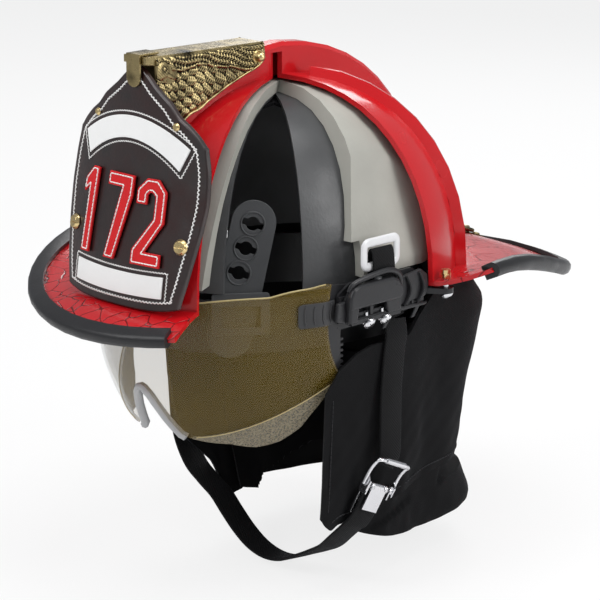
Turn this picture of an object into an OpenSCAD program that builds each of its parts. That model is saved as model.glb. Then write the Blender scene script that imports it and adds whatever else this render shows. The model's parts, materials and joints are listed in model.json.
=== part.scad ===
// Traditional fire helmet, cut away on the wearer's left to show its layers.
// Frame: front is -Y, the wearer's left is +X, up is +Z, and z = 0 is the foot of the dome.

/* [Dome] */
// Half width of the dome at its foot
dome_half_w = 108; // [106:0.5:110]
// Dome length in front of the origin
dome_front = 132; // [130:1:136]
// Dome length behind the origin
dome_rear = 130; // [128:1:136]
// Height of the dome
dome_h = 127; // [126:1:132]
// Wall of the outer shell
shell_t = 3; // [2.4:0.1:3.4]
// Height of the centre comb above the dome
comb_h = 20; // [16:1:22]
// Width of the centre comb
comb_w = 14; // [12:0.5:15]
// Height of the small ribs
rib_h = 6; // [3:0.5:7]
// Width of the small ribs at their foot
rib_w = 10.6; // [8:0.2:14]

/* [Brim] */
// Half width of the brim
brim_half_w = 143; // [138:1:150]
// Brim length in front of the origin
brim_front = 163; // [158:1:170]
// Brim length behind the origin
brim_rear = 237; // [225:1:245]
// Height of the brim edge at the front
brim_z_front = -12; // [-16:1:-8]
// Height of the brim edge at the sides
brim_z_side = 12; // [8:1:16]
// Height of the brim edge at the rear
brim_z_rear = -30; // [-35:1:-24]
// Thickness of the brim
brim_t = 3; // [2.4:0.1:3.2]
// Half height of the rubber edge trim
trim_half_h = 5; // [4:0.2:6]
// How far the trim reaches back over the brim
trim_reach = 7; // [5:0.5:9]

/* [Cutaway] */
// Direction of the front cut through the shell
cut_front_a = -67; // [-70:1:-64]
// Direction of the rear cut through the shell
cut_rear_a = 21.7; // [20:0.1:23]
// Direction of the front cut through the foam
foam_cut_a = -63; // [-65:1:-60]
// Direction of the rear cut through the inner cap
cap_cut_a = -33; // [-36:1:-30]

/* [Foam and cap] */
// Gap between the shell and the foam at the sides
foam_gap = 8; // [7:0.5:10]
// Thickness of the foam at the sides
foam_side_t = 12.5; // [11.5:0.1:13]
// Gap between the shell and the foam at the crown
foam_gap_top = 2; // [1.5:0.1:4]
// Thickness of the foam at the crown
foam_top_t = 7.5; // [6.5:0.1:9]
// Wall of the inner cap
cap_t = 2.4; // [2:0.1:3]

/* [Head] */
// Gap between the inner cap and the headband at the sides
band_gap = 3.8; // [2.8:0.1:5.8]
// Gap between the inner cap and the headband in front
band_gap_front = 3.3; // [2.3:0.1:6.3]
// Wall of the headband
band_t = 1.8; // [1.4:0.1:2.4]
// Lower edge of the headband
band_low = -34; // [-38:1:-30]
// Height of the headband
band_h = 34; // [30:1:38]

/* [Visor] */
// Pivot behind the origin
pivot_y = 22; // [21.5:0.1:22.5]
// Pivot height
pivot_z = -6; // [-6.5:0.1:-5.5]
// How far the lens's outside stays behind the dome's front
lens_gap = 10.4; // [10:0.1:11.4]
// How much further the lens reaches at its lower edge
lens_grow = 4; // [2:0.2:4.2]
// Lens thickness
lens_t = 2; // [1.6:0.1:2.2]
// Radius of the pivot pins
pin_r = 3; // [2.5:0.1:3.5]
// Running clearance round the pivot pins
pin_gap = 0.05; // [0.03:0.01:0.08]

/* [Front shield] */
// Gap between the shield's tip and the eagle's top
badge_gap = 5.7; // [4.7:0.1:8.7]
// Half width of the leather shield
badge_half_w = 60.5; // [58:0.5:64]
// Leather thickness
badge_t = 4; // [3:0.5:4.5]
// Radius of the shield screws
badge_screw_r = 2; // [1.5:0.1:2.2]

/* [Straps and curtain] */
// Width of the webbing
web_w = 19; // [17:0.5:20]
// Thickness of the webbing
web_t = 1.8; // [1.4:0.1:2]
// Thickness of the curtain cloth
cloth_t = 2.4; // [2:0.1:3]

/* [Hidden] */
$fn = 40;

// Roundness of the dome's profile, and the seat gap between pieces
dome_e = 0.9;
seat = 0.3;
// Steps round and up the dome
dome_steps = 60;
dome_rows = [for (k = [0:12]) 90 - 7.3 * k];
// The same for the foam and the cap inside
inner_steps = 44;
inner_rows = [for (k = [0:9]) 90 - 9.75 * k];

// Colours, as the photograph shows them
red = [0.72, 0.04, 0.05];
rubber = [0.12, 0.12, 0.13];
foam = [0.80, 0.79, 0.74];
grey = [0.25, 0.26, 0.27];
black = [0.07, 0.07, 0.07];
leather = [0.16, 0.10, 0.09];
white = [0.92, 0.92, 0.90];
brass = [0.62, 0.52, 0.30];
steel = [0.78, 0.78, 0.80];
amber = [0.40, 0.33, 0.15, 0.6];

// Helpers

// Radius of an egg-shaped ring in direction a: half width w, front f, rear r
function ring_r(a, w, f, r) = 1 / sqrt(pow(cos(a) / w, 2) + pow(sin(a) / (sin(a) < 0 ? f : r), 2));

// Point of a dome in direction a, at angle t from the crown
function dome_pt(a, t, w, f, r, h) = let (k = ring_r(a, w, f, r) * pow(sin(t), dome_e))
    [k * cos(a), k * sin(a), h * pow(max(cos(t), 0), dome_e)];

// Smooth step from a to b as x goes from 0 to 1
function ease(a, b, x) = a + (b - a) * (1 - cos(180 * max(0, min(1, x)))) / 2;

// Point q moved along its ray from the origin onto a dome
function on_dome(q, w, f, r, h) = let (k = norm([q[0], q[1]]) / ring_r(atan2(q[1], q[0]), w, f, r))
    q * pow(pow(k, 2 / dome_e) + pow(q[2] / h, 2 / dome_e), -dome_e / 2);

// Solid between closed loops, with flat ends; each loop turns right-handed about the way it advances
module loft(loops) {
    m = len(loops);
    n = len(loops[0]);
    sides = [for (i = [0:m - 2], j = [0:n - 1]) let (a = i * n + j, b = i * n + (j + 1) % n)
        each [[a, b + n, b], [a, a + n, b + n]]];
    ends = [[for (j = [0:n - 1]) j], [for (j = [n - 1:-1:0]) (m - 1) * n + j]];
    polyhedron([for (loop = loops) each loop], concat(ends, sides), convexity = 10);
}

// Ring-shaped solid through closed loops that come back to the first
module hoop(loops) {
    m = len(loops);
    n = len(loops[0]);
    polyhedron([for (loop = loops) each loop], [for (i = [0:m - 1], j = [0:n - 1])
        let (a = i * n + j, b = i * n + (j + 1) % n, c = (i + 1) % m * n + (j + 1) % n,
            d = (i + 1) % m * n + j) each [[a, c, b], [a, d, c]]], convexity = 10);
}

// Thin solid between two grids of points, front and back
module sheet(front, back) {
    m = len(front);
    n = len(front[0]);
    k = m * n;
    skins = [for (i = [0:m - 2], j = [0:n - 2]) let (a = i * n + j, b = a + 1, c = a + n + 1, d = a + n)
        each [[a, c, b], [a, d, c], [k + a, k + b, k + c], [k + a, k + c, k + d]]];
    rows = [for (j = [0:n - 2]) let (a = j, b = (m - 1) * n + j)
        each [[a, k + a + 1, k + a], [a, a + 1, k + a + 1],
            [b, k + b + 1, b + 1], [b, k + b, k + b + 1]]];
    sides = [for (i = [0:m - 2]) let (a = i * n, b = a + n - 1)
        each [[a, k + a + n, a + n], [a, k + a, k + a + n],
            [b, k + b + n, k + b], [b, b + n, k + b + n]]];
    polyhedron(concat([for (row = front) each row], [for (row = back) each row]),
        concat(skins, rows, sides), convexity = 10);
}

// One mesh of all that it holds, so that thin walls meet without seams
module fuse() {
    resize([0, 0, 0]) union() children();
}

// Left piece mirrored to the wearer's right
module on_right() {
    mirror([1, 0, 0]) children();
}

// Both sides
module both_sides() {
    children();
    on_right() children();
}

// Solid dome with its skirt below the foot
module dome(w, f, r, h, skirt, steps = inner_steps, rows = inner_rows) {
    loft(concat(
        [[for (k = [0:steps - 1]) let (a = 360 * k / steps)
            [ring_r(a, w, f, r) * cos(a), ring_r(a, w, f, r) * sin(a), -skirt]]],
        [for (t = rows) [for (k = [0:steps - 1]) dome_pt(360 * k / steps, t, w, f, r, h)]]));
}

// Wedge between two upright planes that meet at the cutaway's apex
apex = [2.5, -2];
function toward(a, far) = [apex[0] + far * cos(a), apex[1] + far * sin(a)];

module wedge(front_a, rear_a, low, high) {
    translate([0, 0, low]) linear_extrude(high - low)
        polygon([apex, toward(front_a, 400), toward((front_a + rear_a) / 2, 500), toward(rear_a, 400)]);
}

// Outer shell

// Comb height at signed angle t from the crown: it dies out early in front, behind the shield
function comb_rise(t) = t < 0 ? (comb_h - 1) * max(0,
    1 - pow(t / 64, 2)) : comb_h * (1 - pow(t / 90, 1.05));

// Comb line in the middle plane at signed angle t, raised by d above the dome
function comb_pt(t, d) = let (p = dome_pt(t < 0 ? -90 : 90, abs(t), dome_half_w, dome_front, dome_rear,
    dome_h))
    [p[1] + d * sin(t), p[2] + d * cos(t)];

// Body of the comb: half width w, top lowered by drop, foot sunk by sink, out to angle reach
module comb_body(w, drop, sink, reach = 90) {
    edge = min(2.5, w / 2);
    loft([for (t = [-reach:7.5:reach]) let (up = max(comb_rise(t) - drop, 0.5), a = comb_pt(t, -sink),
        b = comb_pt(t, up - edge), c = comb_pt(t, up))
        [[-w, a[0], a[1]], [-w, b[0], b[1]], [edge - w, c[0], c[1]],
            [w - edge, c[0], c[1]], [w, b[0], b[1]], [w, a[0], a[1]]]]);
}

// Small rib in direction a
module rib(a) {
    half = rib_w / 2;
    across = [-sin(a), cos(a), 0];
    loft([for (t = [90:-9:9]) let (p = dome_pt(a, t, dome_half_w, dome_front, dome_rear, dome_h),
        out = [sin(t) * cos(a), sin(t) * sin(a), cos(t)], h = rib_h * min(1, (t - 3) / 7))
        [p - across * half - out, p - across * half * 0.4 + out * h,
            p + across * half * 0.4 + out * h, p + across * half - out]]);
}

// Height of the brim edge in direction a, eased from front to side to rear
function brim_z(a) = let (d = abs(((a + 90 + 540) % 360) - 180))
    d < 90 ? ease(brim_z_front, brim_z_side, d / 90)
    : d < 115 ? ease(brim_z_side, brim_z_side + 1, (d - 90) / 25)
    : ease(brim_z_side + 1, brim_z_rear, (d - 115) / 60);

// Brim middle line in direction a at fraction s, as radius and height, moved d along its normal
function brim_in(a) = ring_r(a, dome_half_w, dome_front, dome_rear) - shell_t / 2;
function brim_out(a) = ring_r(a, brim_half_w, brim_front, brim_rear);
function brim_slope(a, s) = 1.5 * brim_z(a) * sqrt(max(s, 0)) / (brim_out(a) - brim_in(a));
function brim_pt(a, s, d) = let (k = brim_slope(a, s), q = sqrt(1 + k * k))
    [brim_in(a) + s * (brim_out(a) - brim_in(a)) - d * k / q, brim_z(a) * pow(max(s, 0), 1.5) + d / q];
function spin_pt(a, p) = [p[0] * cos(a), p[0] * sin(a), p[1]];

module brim() {
    spots = [-0.08, 0.12, 0.35, 0.6, 0.82, 1];
    hoop([for (k = [0:dome_steps - 1]) let (a = 360 * k / dome_steps)
        concat([for (s = spots) spin_pt(a, brim_pt(a, s, brim_t / 2))],
            [for (k = [5:-1:0]) spin_pt(a, brim_pt(a, spots[k], -brim_t / 2))])]);
}

// Seats of the screws that hold the side brackets to the brim, and of the hanger rivets
bracket_screw_at = [dome_half_w - 1, 45.5];
bracket_screw_r = 2;
hanger_a = 97;
hanger_w = 26;
hanger_rivet_r = 1.6;

// Frame at the brim edge in direction a: x along the edge, y outwards down the slope, z up
module at_brim(a, s) {
    p = brim_pt(a, s, 0);
    translate(spin_pt(a, p)) rotate([0, 0, a - 90]) rotate([atan(brim_slope(a, s)), 0, 0]) children();
}

module hanger_holes(r) {
    for (side = [-1, 1]) at_brim(hanger_a, 0.82)
        translate([side * hanger_w / 3, 0, -20]) cylinder(r = r, h = 40, $fn = 16);
}

module shell_dome(inset, skirt) {
    dome(dome_half_w - inset, dome_front - inset, dome_rear - inset, dome_h - inset, skirt,
        dome_steps, dome_rows);
}

module outer_shell() {
    color(red) fuse() difference() {
        union() {
            shell_dome(0, 0.5);
            comb_body(comb_w / 2, 0, 1.5);
            for (a = [45, 135, 180, 225]) rib(a);
            brim();
        }
        shell_dome(shell_t, 30);
        comb_body(comb_w / 2 - shell_t, shell_t, 8, 75);
        wedge(cut_front_a, cut_rear_a, -60, dome_h + comb_h - shell_t - 3);
        for (side = [-1, 1]) translate([side * bracket_screw_at[0], bracket_screw_at[1], -10])
            cylinder(r = bracket_screw_r + seat, h = 20, $fn = 16);
        hanger_holes(hanger_rivet_r + seat / 2);
    }
}

// Rubber channel round the brim edge, open where the shell is cut away
module edge_trim() {
    mouth = brim_t / 2 + 1.5 * seat;
    outline = [[-trim_reach, trim_half_h - 0.3], [0.6, trim_half_h], [3.2, 0.6 * trim_half_h], [4, 0],
        [3.2, -0.6 * trim_half_h], [0.6, -trim_half_h], [-trim_reach, 0.3 - trim_half_h],
        [-trim_reach, -mouth], [seat, -mouth], [seat, mouth], [-trim_reach, mouth]];
    spots = concat([21.2], [for (a = [24:6:288]) a], [291.8]);
    color(rubber) loft([for (a = spots) let (e = brim_pt(a, 1, 0), s = brim_slope(a, 1),
        q = sqrt(1 + s * s))
        [for (p = outline) spin_pt(a, [e[0] + (p[0] - p[1] * s) / q, e[1] + (p[0] * s + p[1]) / q])]]);
}

// Foam liner, in front of which the visor swings up
foam_half_w = dome_half_w - shell_t - foam_gap;
foam_in_half_w = foam_half_w - foam_side_t;
foam_h = dome_h - shell_t - foam_gap_top;
foam_in_h = foam_h - foam_top_t;
foam_front = dome_front - 20;
foam_rear = dome_rear - 9;
foam_wall = foam_half_w - foam_in_half_w;
foam_low = 11;
foam_panel_x = foam_half_w - 6.4;
foam_notch = 30.6;

// Solid that the visor sweeps round, smaller by gap; the lens's section is a rounded box
room_w = dome_half_w - 4.6;
lens_r = dome_front + pivot_y - lens_gap;
function lens_round(u) = pow(max(0, 1 - pow(abs(u), 2.1)), 1 / 2.1);

module visor_room(gap) {
    translate([0, pivot_y, pivot_z]) rotate([0, 90, 0]) rotate_extrude($fn = 60)
        polygon([for (x = [-room_w:room_w / 12:room_w]) [(lens_r - gap) * lens_round(x / room_w), x]]);
}

module impact_liner() {
    color(foam) fuse() difference() {
        intersection() {
            dome(foam_half_w, foam_front + 10, foam_rear, foam_h, 1);
            union() {
                visor_room(lens_t / 2 + 3);
                translate([-200, pivot_y + 20, 0]) cube([400, 200, 200]);
                translate([-200, -20, foam_h - 22]) cube([400, 100, 60]);
            }
        }
        dome(foam_in_half_w, foam_front - 7, foam_rear - foam_wall + 3, foam_in_h, 20);
        translate([-200, -200, -10]) cube([400, 400, 10 + foam_low]);
        // Flat panels let into both sides, leaning in towards the crown
        both_sides() translate([0, 47, 0]) rotate([90, 0, 0]) linear_extrude(110)
            polygon([[foam_panel_x, -10], [foam_panel_x, 18], [foam_panel_x - 25, 118], [130, 118],
                [130, -10]]);
        // Notches for the visor's arms
        both_sides() translate([foam_panel_x - foam_notch, -90, -10]) cube([60, 78, 44]);
        // The cutaway: an upright plane in front, and a leaning one behind
        loft([for (z = [-40, 160]) let (y = -2 + 0.24 * (z - 105))
            [[apex[0], y, z], [apex[0] + 400 * cos(foam_cut_a), y + 400 * sin(foam_cut_a), z],
                [400, -400, z], [400, y, z]]]);
    }
}

// Hard inner cap
cap_half_w = foam_in_half_w - seat;
cap_front = foam_front - 7 - seat;
cap_rear = foam_rear - foam_wall + 3 - seat;
cap_h = foam_in_h - seat;
cap_low = 6;

module inner_cap() {
    color(grey) fuse() difference() {
        dome(cap_half_w, cap_front, cap_rear, cap_h, 1);
        dome(cap_half_w - cap_t, cap_front - cap_t, cap_rear - cap_t, cap_h - cap_t, 20);
        translate([-200, -200, -10]) cube([400, 400, 10 + cap_low]);
        wedge(foam_cut_a - 1, cap_cut_a, -40, 200);
    }
}

// Webbing that crosses inside the crown and hangs from the cap
module crown_strap(a) {
    half = 9;
    side = [-sin(a), cos(a), 0];
    face = function(d) [for (t = [-74:10.57:74])
        let (p = dome_pt(t < 0 ? a + 180 : a, max(abs(t), 0.1), cap_half_w, cap_front, cap_rear, cap_h))
        [for (off = [-half, half]) on_dome(p + off * side, cap_half_w - d, cap_front - d, cap_rear - d,
            cap_h - d)]];
    drop = cap_t + 1.2;
    sheet(face(drop + web_t), face(drop));
}

module crown_straps() {
    color(black) fuse() {
        crown_strap(0);
        crown_strap(90);
    }
}

// Headband: egg in front, a true arc behind, so that the racks can slide round it
band_half_w = cap_half_w - cap_t - band_gap;
band_front = cap_front - cap_t - band_gap_front;
band_mid_y = band_front - band_half_w;
band_rear_a = 35;
function band_pt(a, off) = let (w = band_half_w + off, f = band_front + band_mid_y + off)
    let (k = sin(a) < 0 ? 1 / sqrt(pow(cos(a) / w, 2) + pow(sin(a) / f, 2)) : w)
    [k * cos(a), band_mid_y + k * sin(a)];

// Strip of band from direction a0 to a1, between two offsets
module band_strip(a0, a1, inside, outside, low, high, steps) {
    translate([0, 0, low]) linear_extrude(high - low) polygon(concat(
        [for (k = [0:steps]) band_pt(a0 + (a1 - a0) * k / steps, outside)],
        [for (k = [steps:-1:0]) band_pt(a0 + (a1 - a0) * k / steps, inside)]));
}

// Arc about the racks' own centre
module rack_arc(a0, a1, inside, outside, low, high) {
    translate([0, band_mid_y, low]) rotate([0, 0, a0])
        rotate_extrude(angle = a1 - a0, $fn = 120)
            translate([inside, 0]) square([outside - inside, high - low]);
}

// Racks run in sleeves at the band's two ends
rack_in = band_half_w + 0.4;
rack_out = rack_in + 1.8;
rack_low = band_low + 4;
rack_high = rack_low + 22;
rack_mid = (rack_low + rack_high) / 2;
sleeve_t = 1.4;
rack_gap = 0.25;

module rack_sleeve() {
    difference() {
        rack_arc(38, 62, band_half_w + 0.02, rack_out + rack_gap + sleeve_t,
            rack_low - rack_gap - sleeve_t, rack_high + rack_gap + sleeve_t);
        rack_arc(30, 70, rack_in - rack_gap, rack_out + rack_gap, rack_low - rack_gap,
            rack_high + rack_gap);
    }
}

module headband() {
    color(black) {
        band_strip(-205, 25, -band_t, 0, band_low, band_low + band_h, 46);
        both_sides() rack_arc(25, 64, band_half_w - band_t, band_half_w, band_low, band_low + band_h);
        both_sides() rack_sleeve();
    }
}

// Padded sweatband inside the brow
module brow_pad() {
    steps = 22;
    rise = [0, 3.2, 4.6, 4.6, 3.2, 0];
    spot = [-32, -31, -24, -10, -3, -2];
    color(black) loft([for (k = [0:steps]) let (a = -155 + 130 * k / steps)
        concat([for (j = [0:5]) let (p = band_pt(a, -band_t - seat - 0.6 - rise[j])) [p[0], p[1], spot[j]]],
            [for (j = [5, 0]) let (p = band_pt(a, -band_t - seat)) [p[0], p[1], spot[j]]])]);
}

// Keyed tabs that set how deep the cap sits; they lean inwards over the head
tab_a = -61;
tab_yaw = let (p = band_pt(tab_a, 0)) atan2((p[1] - band_mid_y) / pow(band_front + band_mid_y, 2),
    p[0] / pow(band_half_w, 2));
tab_lean = 9;
tab_t = 2.4;
tab_half_w = 14;
tab_shift = 14;
key_pitch = 15;

// Frame on the band's top edge where a tab stands: x along the band, y up the tab, z outwards by off
module at_tab(off) {
    p = band_pt(tab_a, 0);
    translate([p[0], p[1], band_low + band_h]) rotate([0, 0, tab_yaw + 90]) rotate([-tab_lean, 0, 0])
        translate([0, -off, 0]) rotate([90, 0, 0]) children();
}

module key_hole() {
    circle(r = 4.2, $fn = 24);
    square([14, 4], center = true);
}

module key_tab() {
    at_tab(seat) linear_extrude(tab_t) difference() {
        hull() {
            translate([2.4, 48]) circle(r = tab_half_w, $fn = 32);
            translate([-tab_shift, -21]) circle(r = tab_half_w, $fn = 32);
        }
        for (k = [0:2]) translate([1.8 - 4.7 * k, 47.4 - key_pitch * k]) rotate(-20) key_hole();
    }
}

module key_tab_left() {
    color(grey) key_tab();
}

module key_tab_right() {
    color(grey) on_right() key_tab();
}

// Square frames that hold the tabs on the band
module tab_buckle() {
    at_tab(tab_t + 2 * seat) linear_extrude(1.8) difference() {
        translate([-7, -8]) offset(r = 2, $fn = 16) square([32, 22], center = true);
        translate([-7, -10]) square([24, 13], center = true);
    }
}

module tab_buckles() {
    color(grey) both_sides() tab_buckle();
}

// Ratchet at the nape
rack_r = (rack_in + rack_out) / 2;
knob_r = 17;
spindle_r = 2.5;
pinion_r = 5;
house_in = rack_in - rack_gap;
house_out = rack_out + rack_gap;
house_half_a = 17;

module at_nape(y) {
    translate([0, band_mid_y + y, rack_mid]) rotate([-90, 0, 0]) children();
}

module ratchet_housing() {
    color(black) difference() {
        rack_arc(90 - house_half_a, 90 + house_half_a, house_in - 3, house_in - 1.2, rack_low - 5,
            rack_high + 5);
        at_nape(house_in - 10) cylinder(r = spindle_r + 0.1, h = 20);
    }
}

module ratchet_cover() {
    low = rack_low - 5;
    high = rack_high + 5;
    color(black) difference() {
        union() {
            rack_arc(90 - house_half_a, 90 + house_half_a, house_in - 1.1, house_out + 2, low, high);
            at_nape(house_out) cylinder(r = knob_r - 2, h = 4.4);
        }
        rack_arc(60, 120, house_in - 0.6, house_out, rack_low - rack_gap, rack_high + rack_gap);
        at_nape(house_in - 10) cylinder(r = spindle_r + 0.1, h = 30);
    }
}

module ratchet_knob() {
    front = house_out + 4.4 + seat;
    color(black) difference() {
        union() {
            at_nape(front) cylinder(r = knob_r, h = 9);
            at_nape(front) for (k = [0:17]) rotate(20 * k) translate([knob_r, 0, 0])
                cylinder(r = 1.2, h = 9, $fn = 16);
            at_nape(house_in - 2.9) cylinder(r = spindle_r, h = front - house_in + 3.4);
            at_nape(house_in - 0.2) cylinder(r = pinion_r - 1, h = 2);
            at_nape(house_in - 0.2) for (k = [0:9]) rotate(36 * k) translate([0, -0.6, 0])
                cube([pinion_r, 1.2, 2]);
        }
        at_nape(front + 6) cylinder(r = knob_r - 4, h = 6);
    }
}

// Toothed racks: the left one runs above the pinion, the right one below
tooth = 36 * pinion_r * PI / 180;
tooth_a = tooth / rack_r * 180 / PI;

module rack(upper) {
    low = upper ? rack_mid + pinion_r + 0.4 : rack_low;
    high = upper ? rack_high : rack_mid - pinion_r - 0.4;
    rack_arc(52, 102, rack_in, rack_out, low, high);
    for (k = [0:5]) rack_arc(85 + (k - 1) * tooth_a, 85 + (k - 1) * tooth_a + tooth_a * 0.3, rack_in,
        rack_out,
        upper ? low - 1 : high - 0.5, upper ? low + 0.5 : high + 1);
}

module rack_left() {
    color(grey) fuse() rack(true);
}

module rack_right() {
    color(grey) fuse() on_right() rack(false);
}

module nape_pad() {
    steps = 12;
    color(black) loft([for (k = [0:steps]) let (a = 76 + 28 * k / steps, r = house_in - 3 - seat)
        [for (p = [[0, 14], [0, -14], [-3, -13], [-5, -8], [-5, 8], [-3, 13]])
            [(r + p[0]) * cos(a), band_mid_y + (r + p[0]) * sin(a), rack_mid + p[1]]]]);
}

// Front shield: one leather sheet, curved across and leaning back, up to the eagle
eagle_top = dome_h + comb_h + 4.8;
badge_low = 1.1;
badge_y = -dome_front - 2.8;
badge_lean = 0.1;
badge_bend = 7.5;
badge_curve = 0.0027;
badge_h = eagle_top - badge_gap - badge_low;

// Leather surface at x and height z, standing proud by d; it bends back towards the tip
function badge_back(z) = badge_lean * z + ease(0, badge_bend, z / 110);
function badge_pt(x, z, d) = [x, badge_y + badge_back(z) + badge_curve * x * x - d, z];

// Half width at height fraction v, and heights of the lower and upper edges at u from -1 to 1
function badge_w(v) = badge_half_w * lookup(v, [[0, 0.87], [0.15, 0.9], [0.45, 0.965], [0.65, 1],
    [0.85, 0.98],
    [1, 0.92]]);
function badge_bottom(u) = badge_low + 3.5 * pow(abs(u), 4);
function badge_top(u) = badge_low + badge_h * lookup(abs(u),
    [[0, 1], [0.1, 0.985], [0.2, 0.955], [0.3, 0.92],
    [0.52, 0.86], [0.64, 0.81], [0.78, 0.775], [0.9, 0.735], [1, 0.69]]);
badge_u = [-1, -0.9, -0.78, -0.64, -0.52, -0.3, -0.1, 0, 0.1, 0.3, 0.52, 0.64, 0.78, 0.9, 1];
badge_v = [0, 0.15, 0.3, 0.45, 0.55, 0.65, 0.75, 0.85, 1];

function badge_grid(d) = [for (v = badge_v) [for (u = badge_u)
    badge_pt(u * badge_w(v), badge_bottom(u) + v * (badge_top(u) - badge_bottom(u)), d)]];
badge_screw_x = 47;
badge_screw_z = 42;

// Frame on the leather at x and z, proud by d, that lies on it over the height span
module at_badge(x, z, d, span = 1) {
    lean = (badge_back(z + span) - badge_back(z)) / span;
    translate(badge_pt(x, z, 0)) rotate([0, 0, atan(2 * badge_curve * x)]) rotate([90 - atan(lean), 0, 0])
        translate([0, 0, d]) children();
}

module front_shield() {
    color(leather) fuse() difference() {
        sheet(badge_grid(badge_t), badge_grid(0));
        for (side = [-1, 1]) at_badge(side * badge_screw_x, badge_screw_z, -5)
            cylinder(r = badge_screw_r + seat, h = 20, $fn = 20);
        for (side = [-1, 1]) at_badge(side * rivet_x, rivet_z, -5) cylinder(r = 1.3, h = 20, $fn = 16);
    }
}

// Leather panel bent along the shield: x from x0 to x1, heights from low(x) to low(x) + tall
module badge_panel(half, low, tall, arch, flare, thick) {
    columns = [for (k = [-8:8]) half * k / 8];
    face = function(d) [for (v = [0, 1]) [for (x = columns)
        badge_pt(x * (1 + flare * (v - 0.5)), low + tall * v - arch * pow(x / half, 2), badge_t + d)]];
    sheet(face(thick + 0.1), face(0.1));
}

module shield_upper_panel() {
    color(white) badge_panel(46, 101.5, 14, 16.5, 0.14, 1);
}

module shield_lower_panel() {
    color(white) badge_panel(43.5, 4.8, 13.6, -1, 0, 1);
}

// Plain number in block figures
digit_w = 23;
digit_h = 53;
stroke = 8.4;

module figure_one() {
    polygon([[7, 0], [7 + stroke, 0], [7 + stroke, digit_h], [9, digit_h], [2, digit_h - 8],
        [2, digit_h - 17], [7, digit_h - 13]]);
}

module figure_seven() {
    polygon([[0, digit_h], [digit_w, digit_h], [digit_w, digit_h - 12], [12.5, 0], [3.2, 0],
        [12.6, digit_h - stroke], [0, digit_h - stroke]]);
}

module figure_two() {
    polygon([[0, 0], [digit_w, 0], [digit_w, stroke], [10.4, stroke], [digit_w, 27], [digit_w, digit_h - 7],
        [digit_w - 7, digit_h], [7, digit_h], [0, digit_h - 7], [0, digit_h - 16], [stroke, digit_h - 16],
        [stroke, digit_h - 10], [10, digit_h - stroke], [12, digit_h - stroke],
            [digit_w - stroke, digit_h - 10.5],
        [digit_w - stroke, 29], [0, 9]]);
}

// A figure's own place on the curved shield, clear of it by the sagitta of its width
module figure_at(x) {
    at_badge(x, 27.5, badge_t + seat + badge_curve * pow(digit_w / 2, 2), digit_h)
        translate([-digit_w / 2, 0, 0])
        linear_extrude(1.6) children();
}

module shield_number() {
    color(red) {
        figure_at(-30) figure_one();
        figure_at(-3) figure_seven();
        figure_at(24) figure_two();
    }
}

module shield_screws() {
    color(brass) for (side = [-1, 1]) at_badge(side * badge_screw_x, badge_screw_z, badge_t + seat)
        difference() {
        union() {
            cylinder(r1 = 5, r2 = 3.6, h = 2.2);
            translate([0, 0, -badge_t - 4]) cylinder(r = badge_screw_r, h = badge_t + 5);
            translate([0, 0, -badge_t - 3.8]) cylinder(r = 3.8, h = 3, $fn = 6);
        }
        translate([-6, -0.5, 1.3]) cube([12, 1, 2]);
    }
}

rivet_x = 34.5;
rivet_z = 112.5;

module shield_rivets() {
    color(brass) for (side = [-1, 1]) at_badge(side * rivet_x, rivet_z, badge_t + seat) {
        cylinder(r1 = 2.6, r2 = 1.6, h = 1.4);
        translate([0, 0, -badge_t - 1]) cylinder(r = 1.1, h = badge_t + 1.6);
        translate([0, 0, -badge_t - 1.8]) cylinder(r = 2.4, h = 1);
    }
}

// Brass eagle: a saddle over the front of the comb, with its wings along both sides
eagle_half_w = 10;
clip_t = 1.4;
clip_front = badge_pt(0, eagle_top - 8, badge_t)[1] - 2 * clip_t;
eagle_front = clip_front + clip_t + 0.32;
eagle_breast = eagle_front + 7.4;

module eagle_side() {
    translate([0, eagle_top]) polygon([[eagle_breast, -5.6], [eagle_front, -4.6], [eagle_front, 0],
        [-21, -1.6], [-20, -4],
        [-20, -12.6], [-26, -17], [-34, -19.5], [-44, -23], [-52, -26], [-61, -30], [-68, -33],
            [-74, -36.5],
        [-83, -39], [-90, -43], [-97, -42], [-102, -36], [-108, -31], [eagle_breast, -26]]);
}

module eagle_holder() {
    color(brass) fuse() difference() {
        union() {
            translate([eagle_half_w, 0, 0]) rotate([90, 0, -90]) mirror([1, 0, 0])
                linear_extrude(2 * eagle_half_w) eagle_side();
            // Raised leading edges of the folded wings
            both_sides() translate([eagle_half_w - 1, -100, eagle_top - 12]) rotate([0, 90, 0])
                cylinder(r = 6, h = 2.4, $fn = 24);
        }
        comb_body(comb_w / 2 + seat, -seat, 30);
    }
}

// Acorn screw through the saddle's rear
eagle_screw_y = -25.5;
eagle_screw_z = eagle_top - 10.5;

module eagle_screw() {
    color(brass) {
        both_sides() translate([eagle_half_w + 0.1, eagle_screw_y, eagle_screw_z]) rotate([0, 90, 0]) {
            cylinder(r = 4.4, h = 1.6);
            translate([0, 0, 1.5]) cylinder(r1 = 3.6, r2 = 3, h = 2);
            translate([0, 0, 3.5]) sphere(r = 3);
        }
    }
}

// Spring clip on the eagle's breast that grips the tip of the shield
clip_w = 12;

module eagle_clip() {
    color(brass) translate([0, clip_front, eagle_top + 0.2]) {
        translate([-clip_w / 2, 0, 0]) cube([clip_w, 16, clip_t]);
        translate([-clip_w / 2, 0, -13]) cube([clip_w, clip_t, 13 + clip_t]);
        translate([0, clip_t, -13]) rotate([90, 0, 0]) cylinder(r = clip_w / 2, h = clip_t);
    }
}

// Visor lens: nearly a surface of revolution about the pivot axis, so that it can swing up inside
arm_gap = 12.6;
arm_x = dome_half_w - shell_t - arm_gap;
arm_t = 1.8;
lens_w = dome_half_w - 1;
lens_end = arm_x + arm_t + 0.4;
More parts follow.
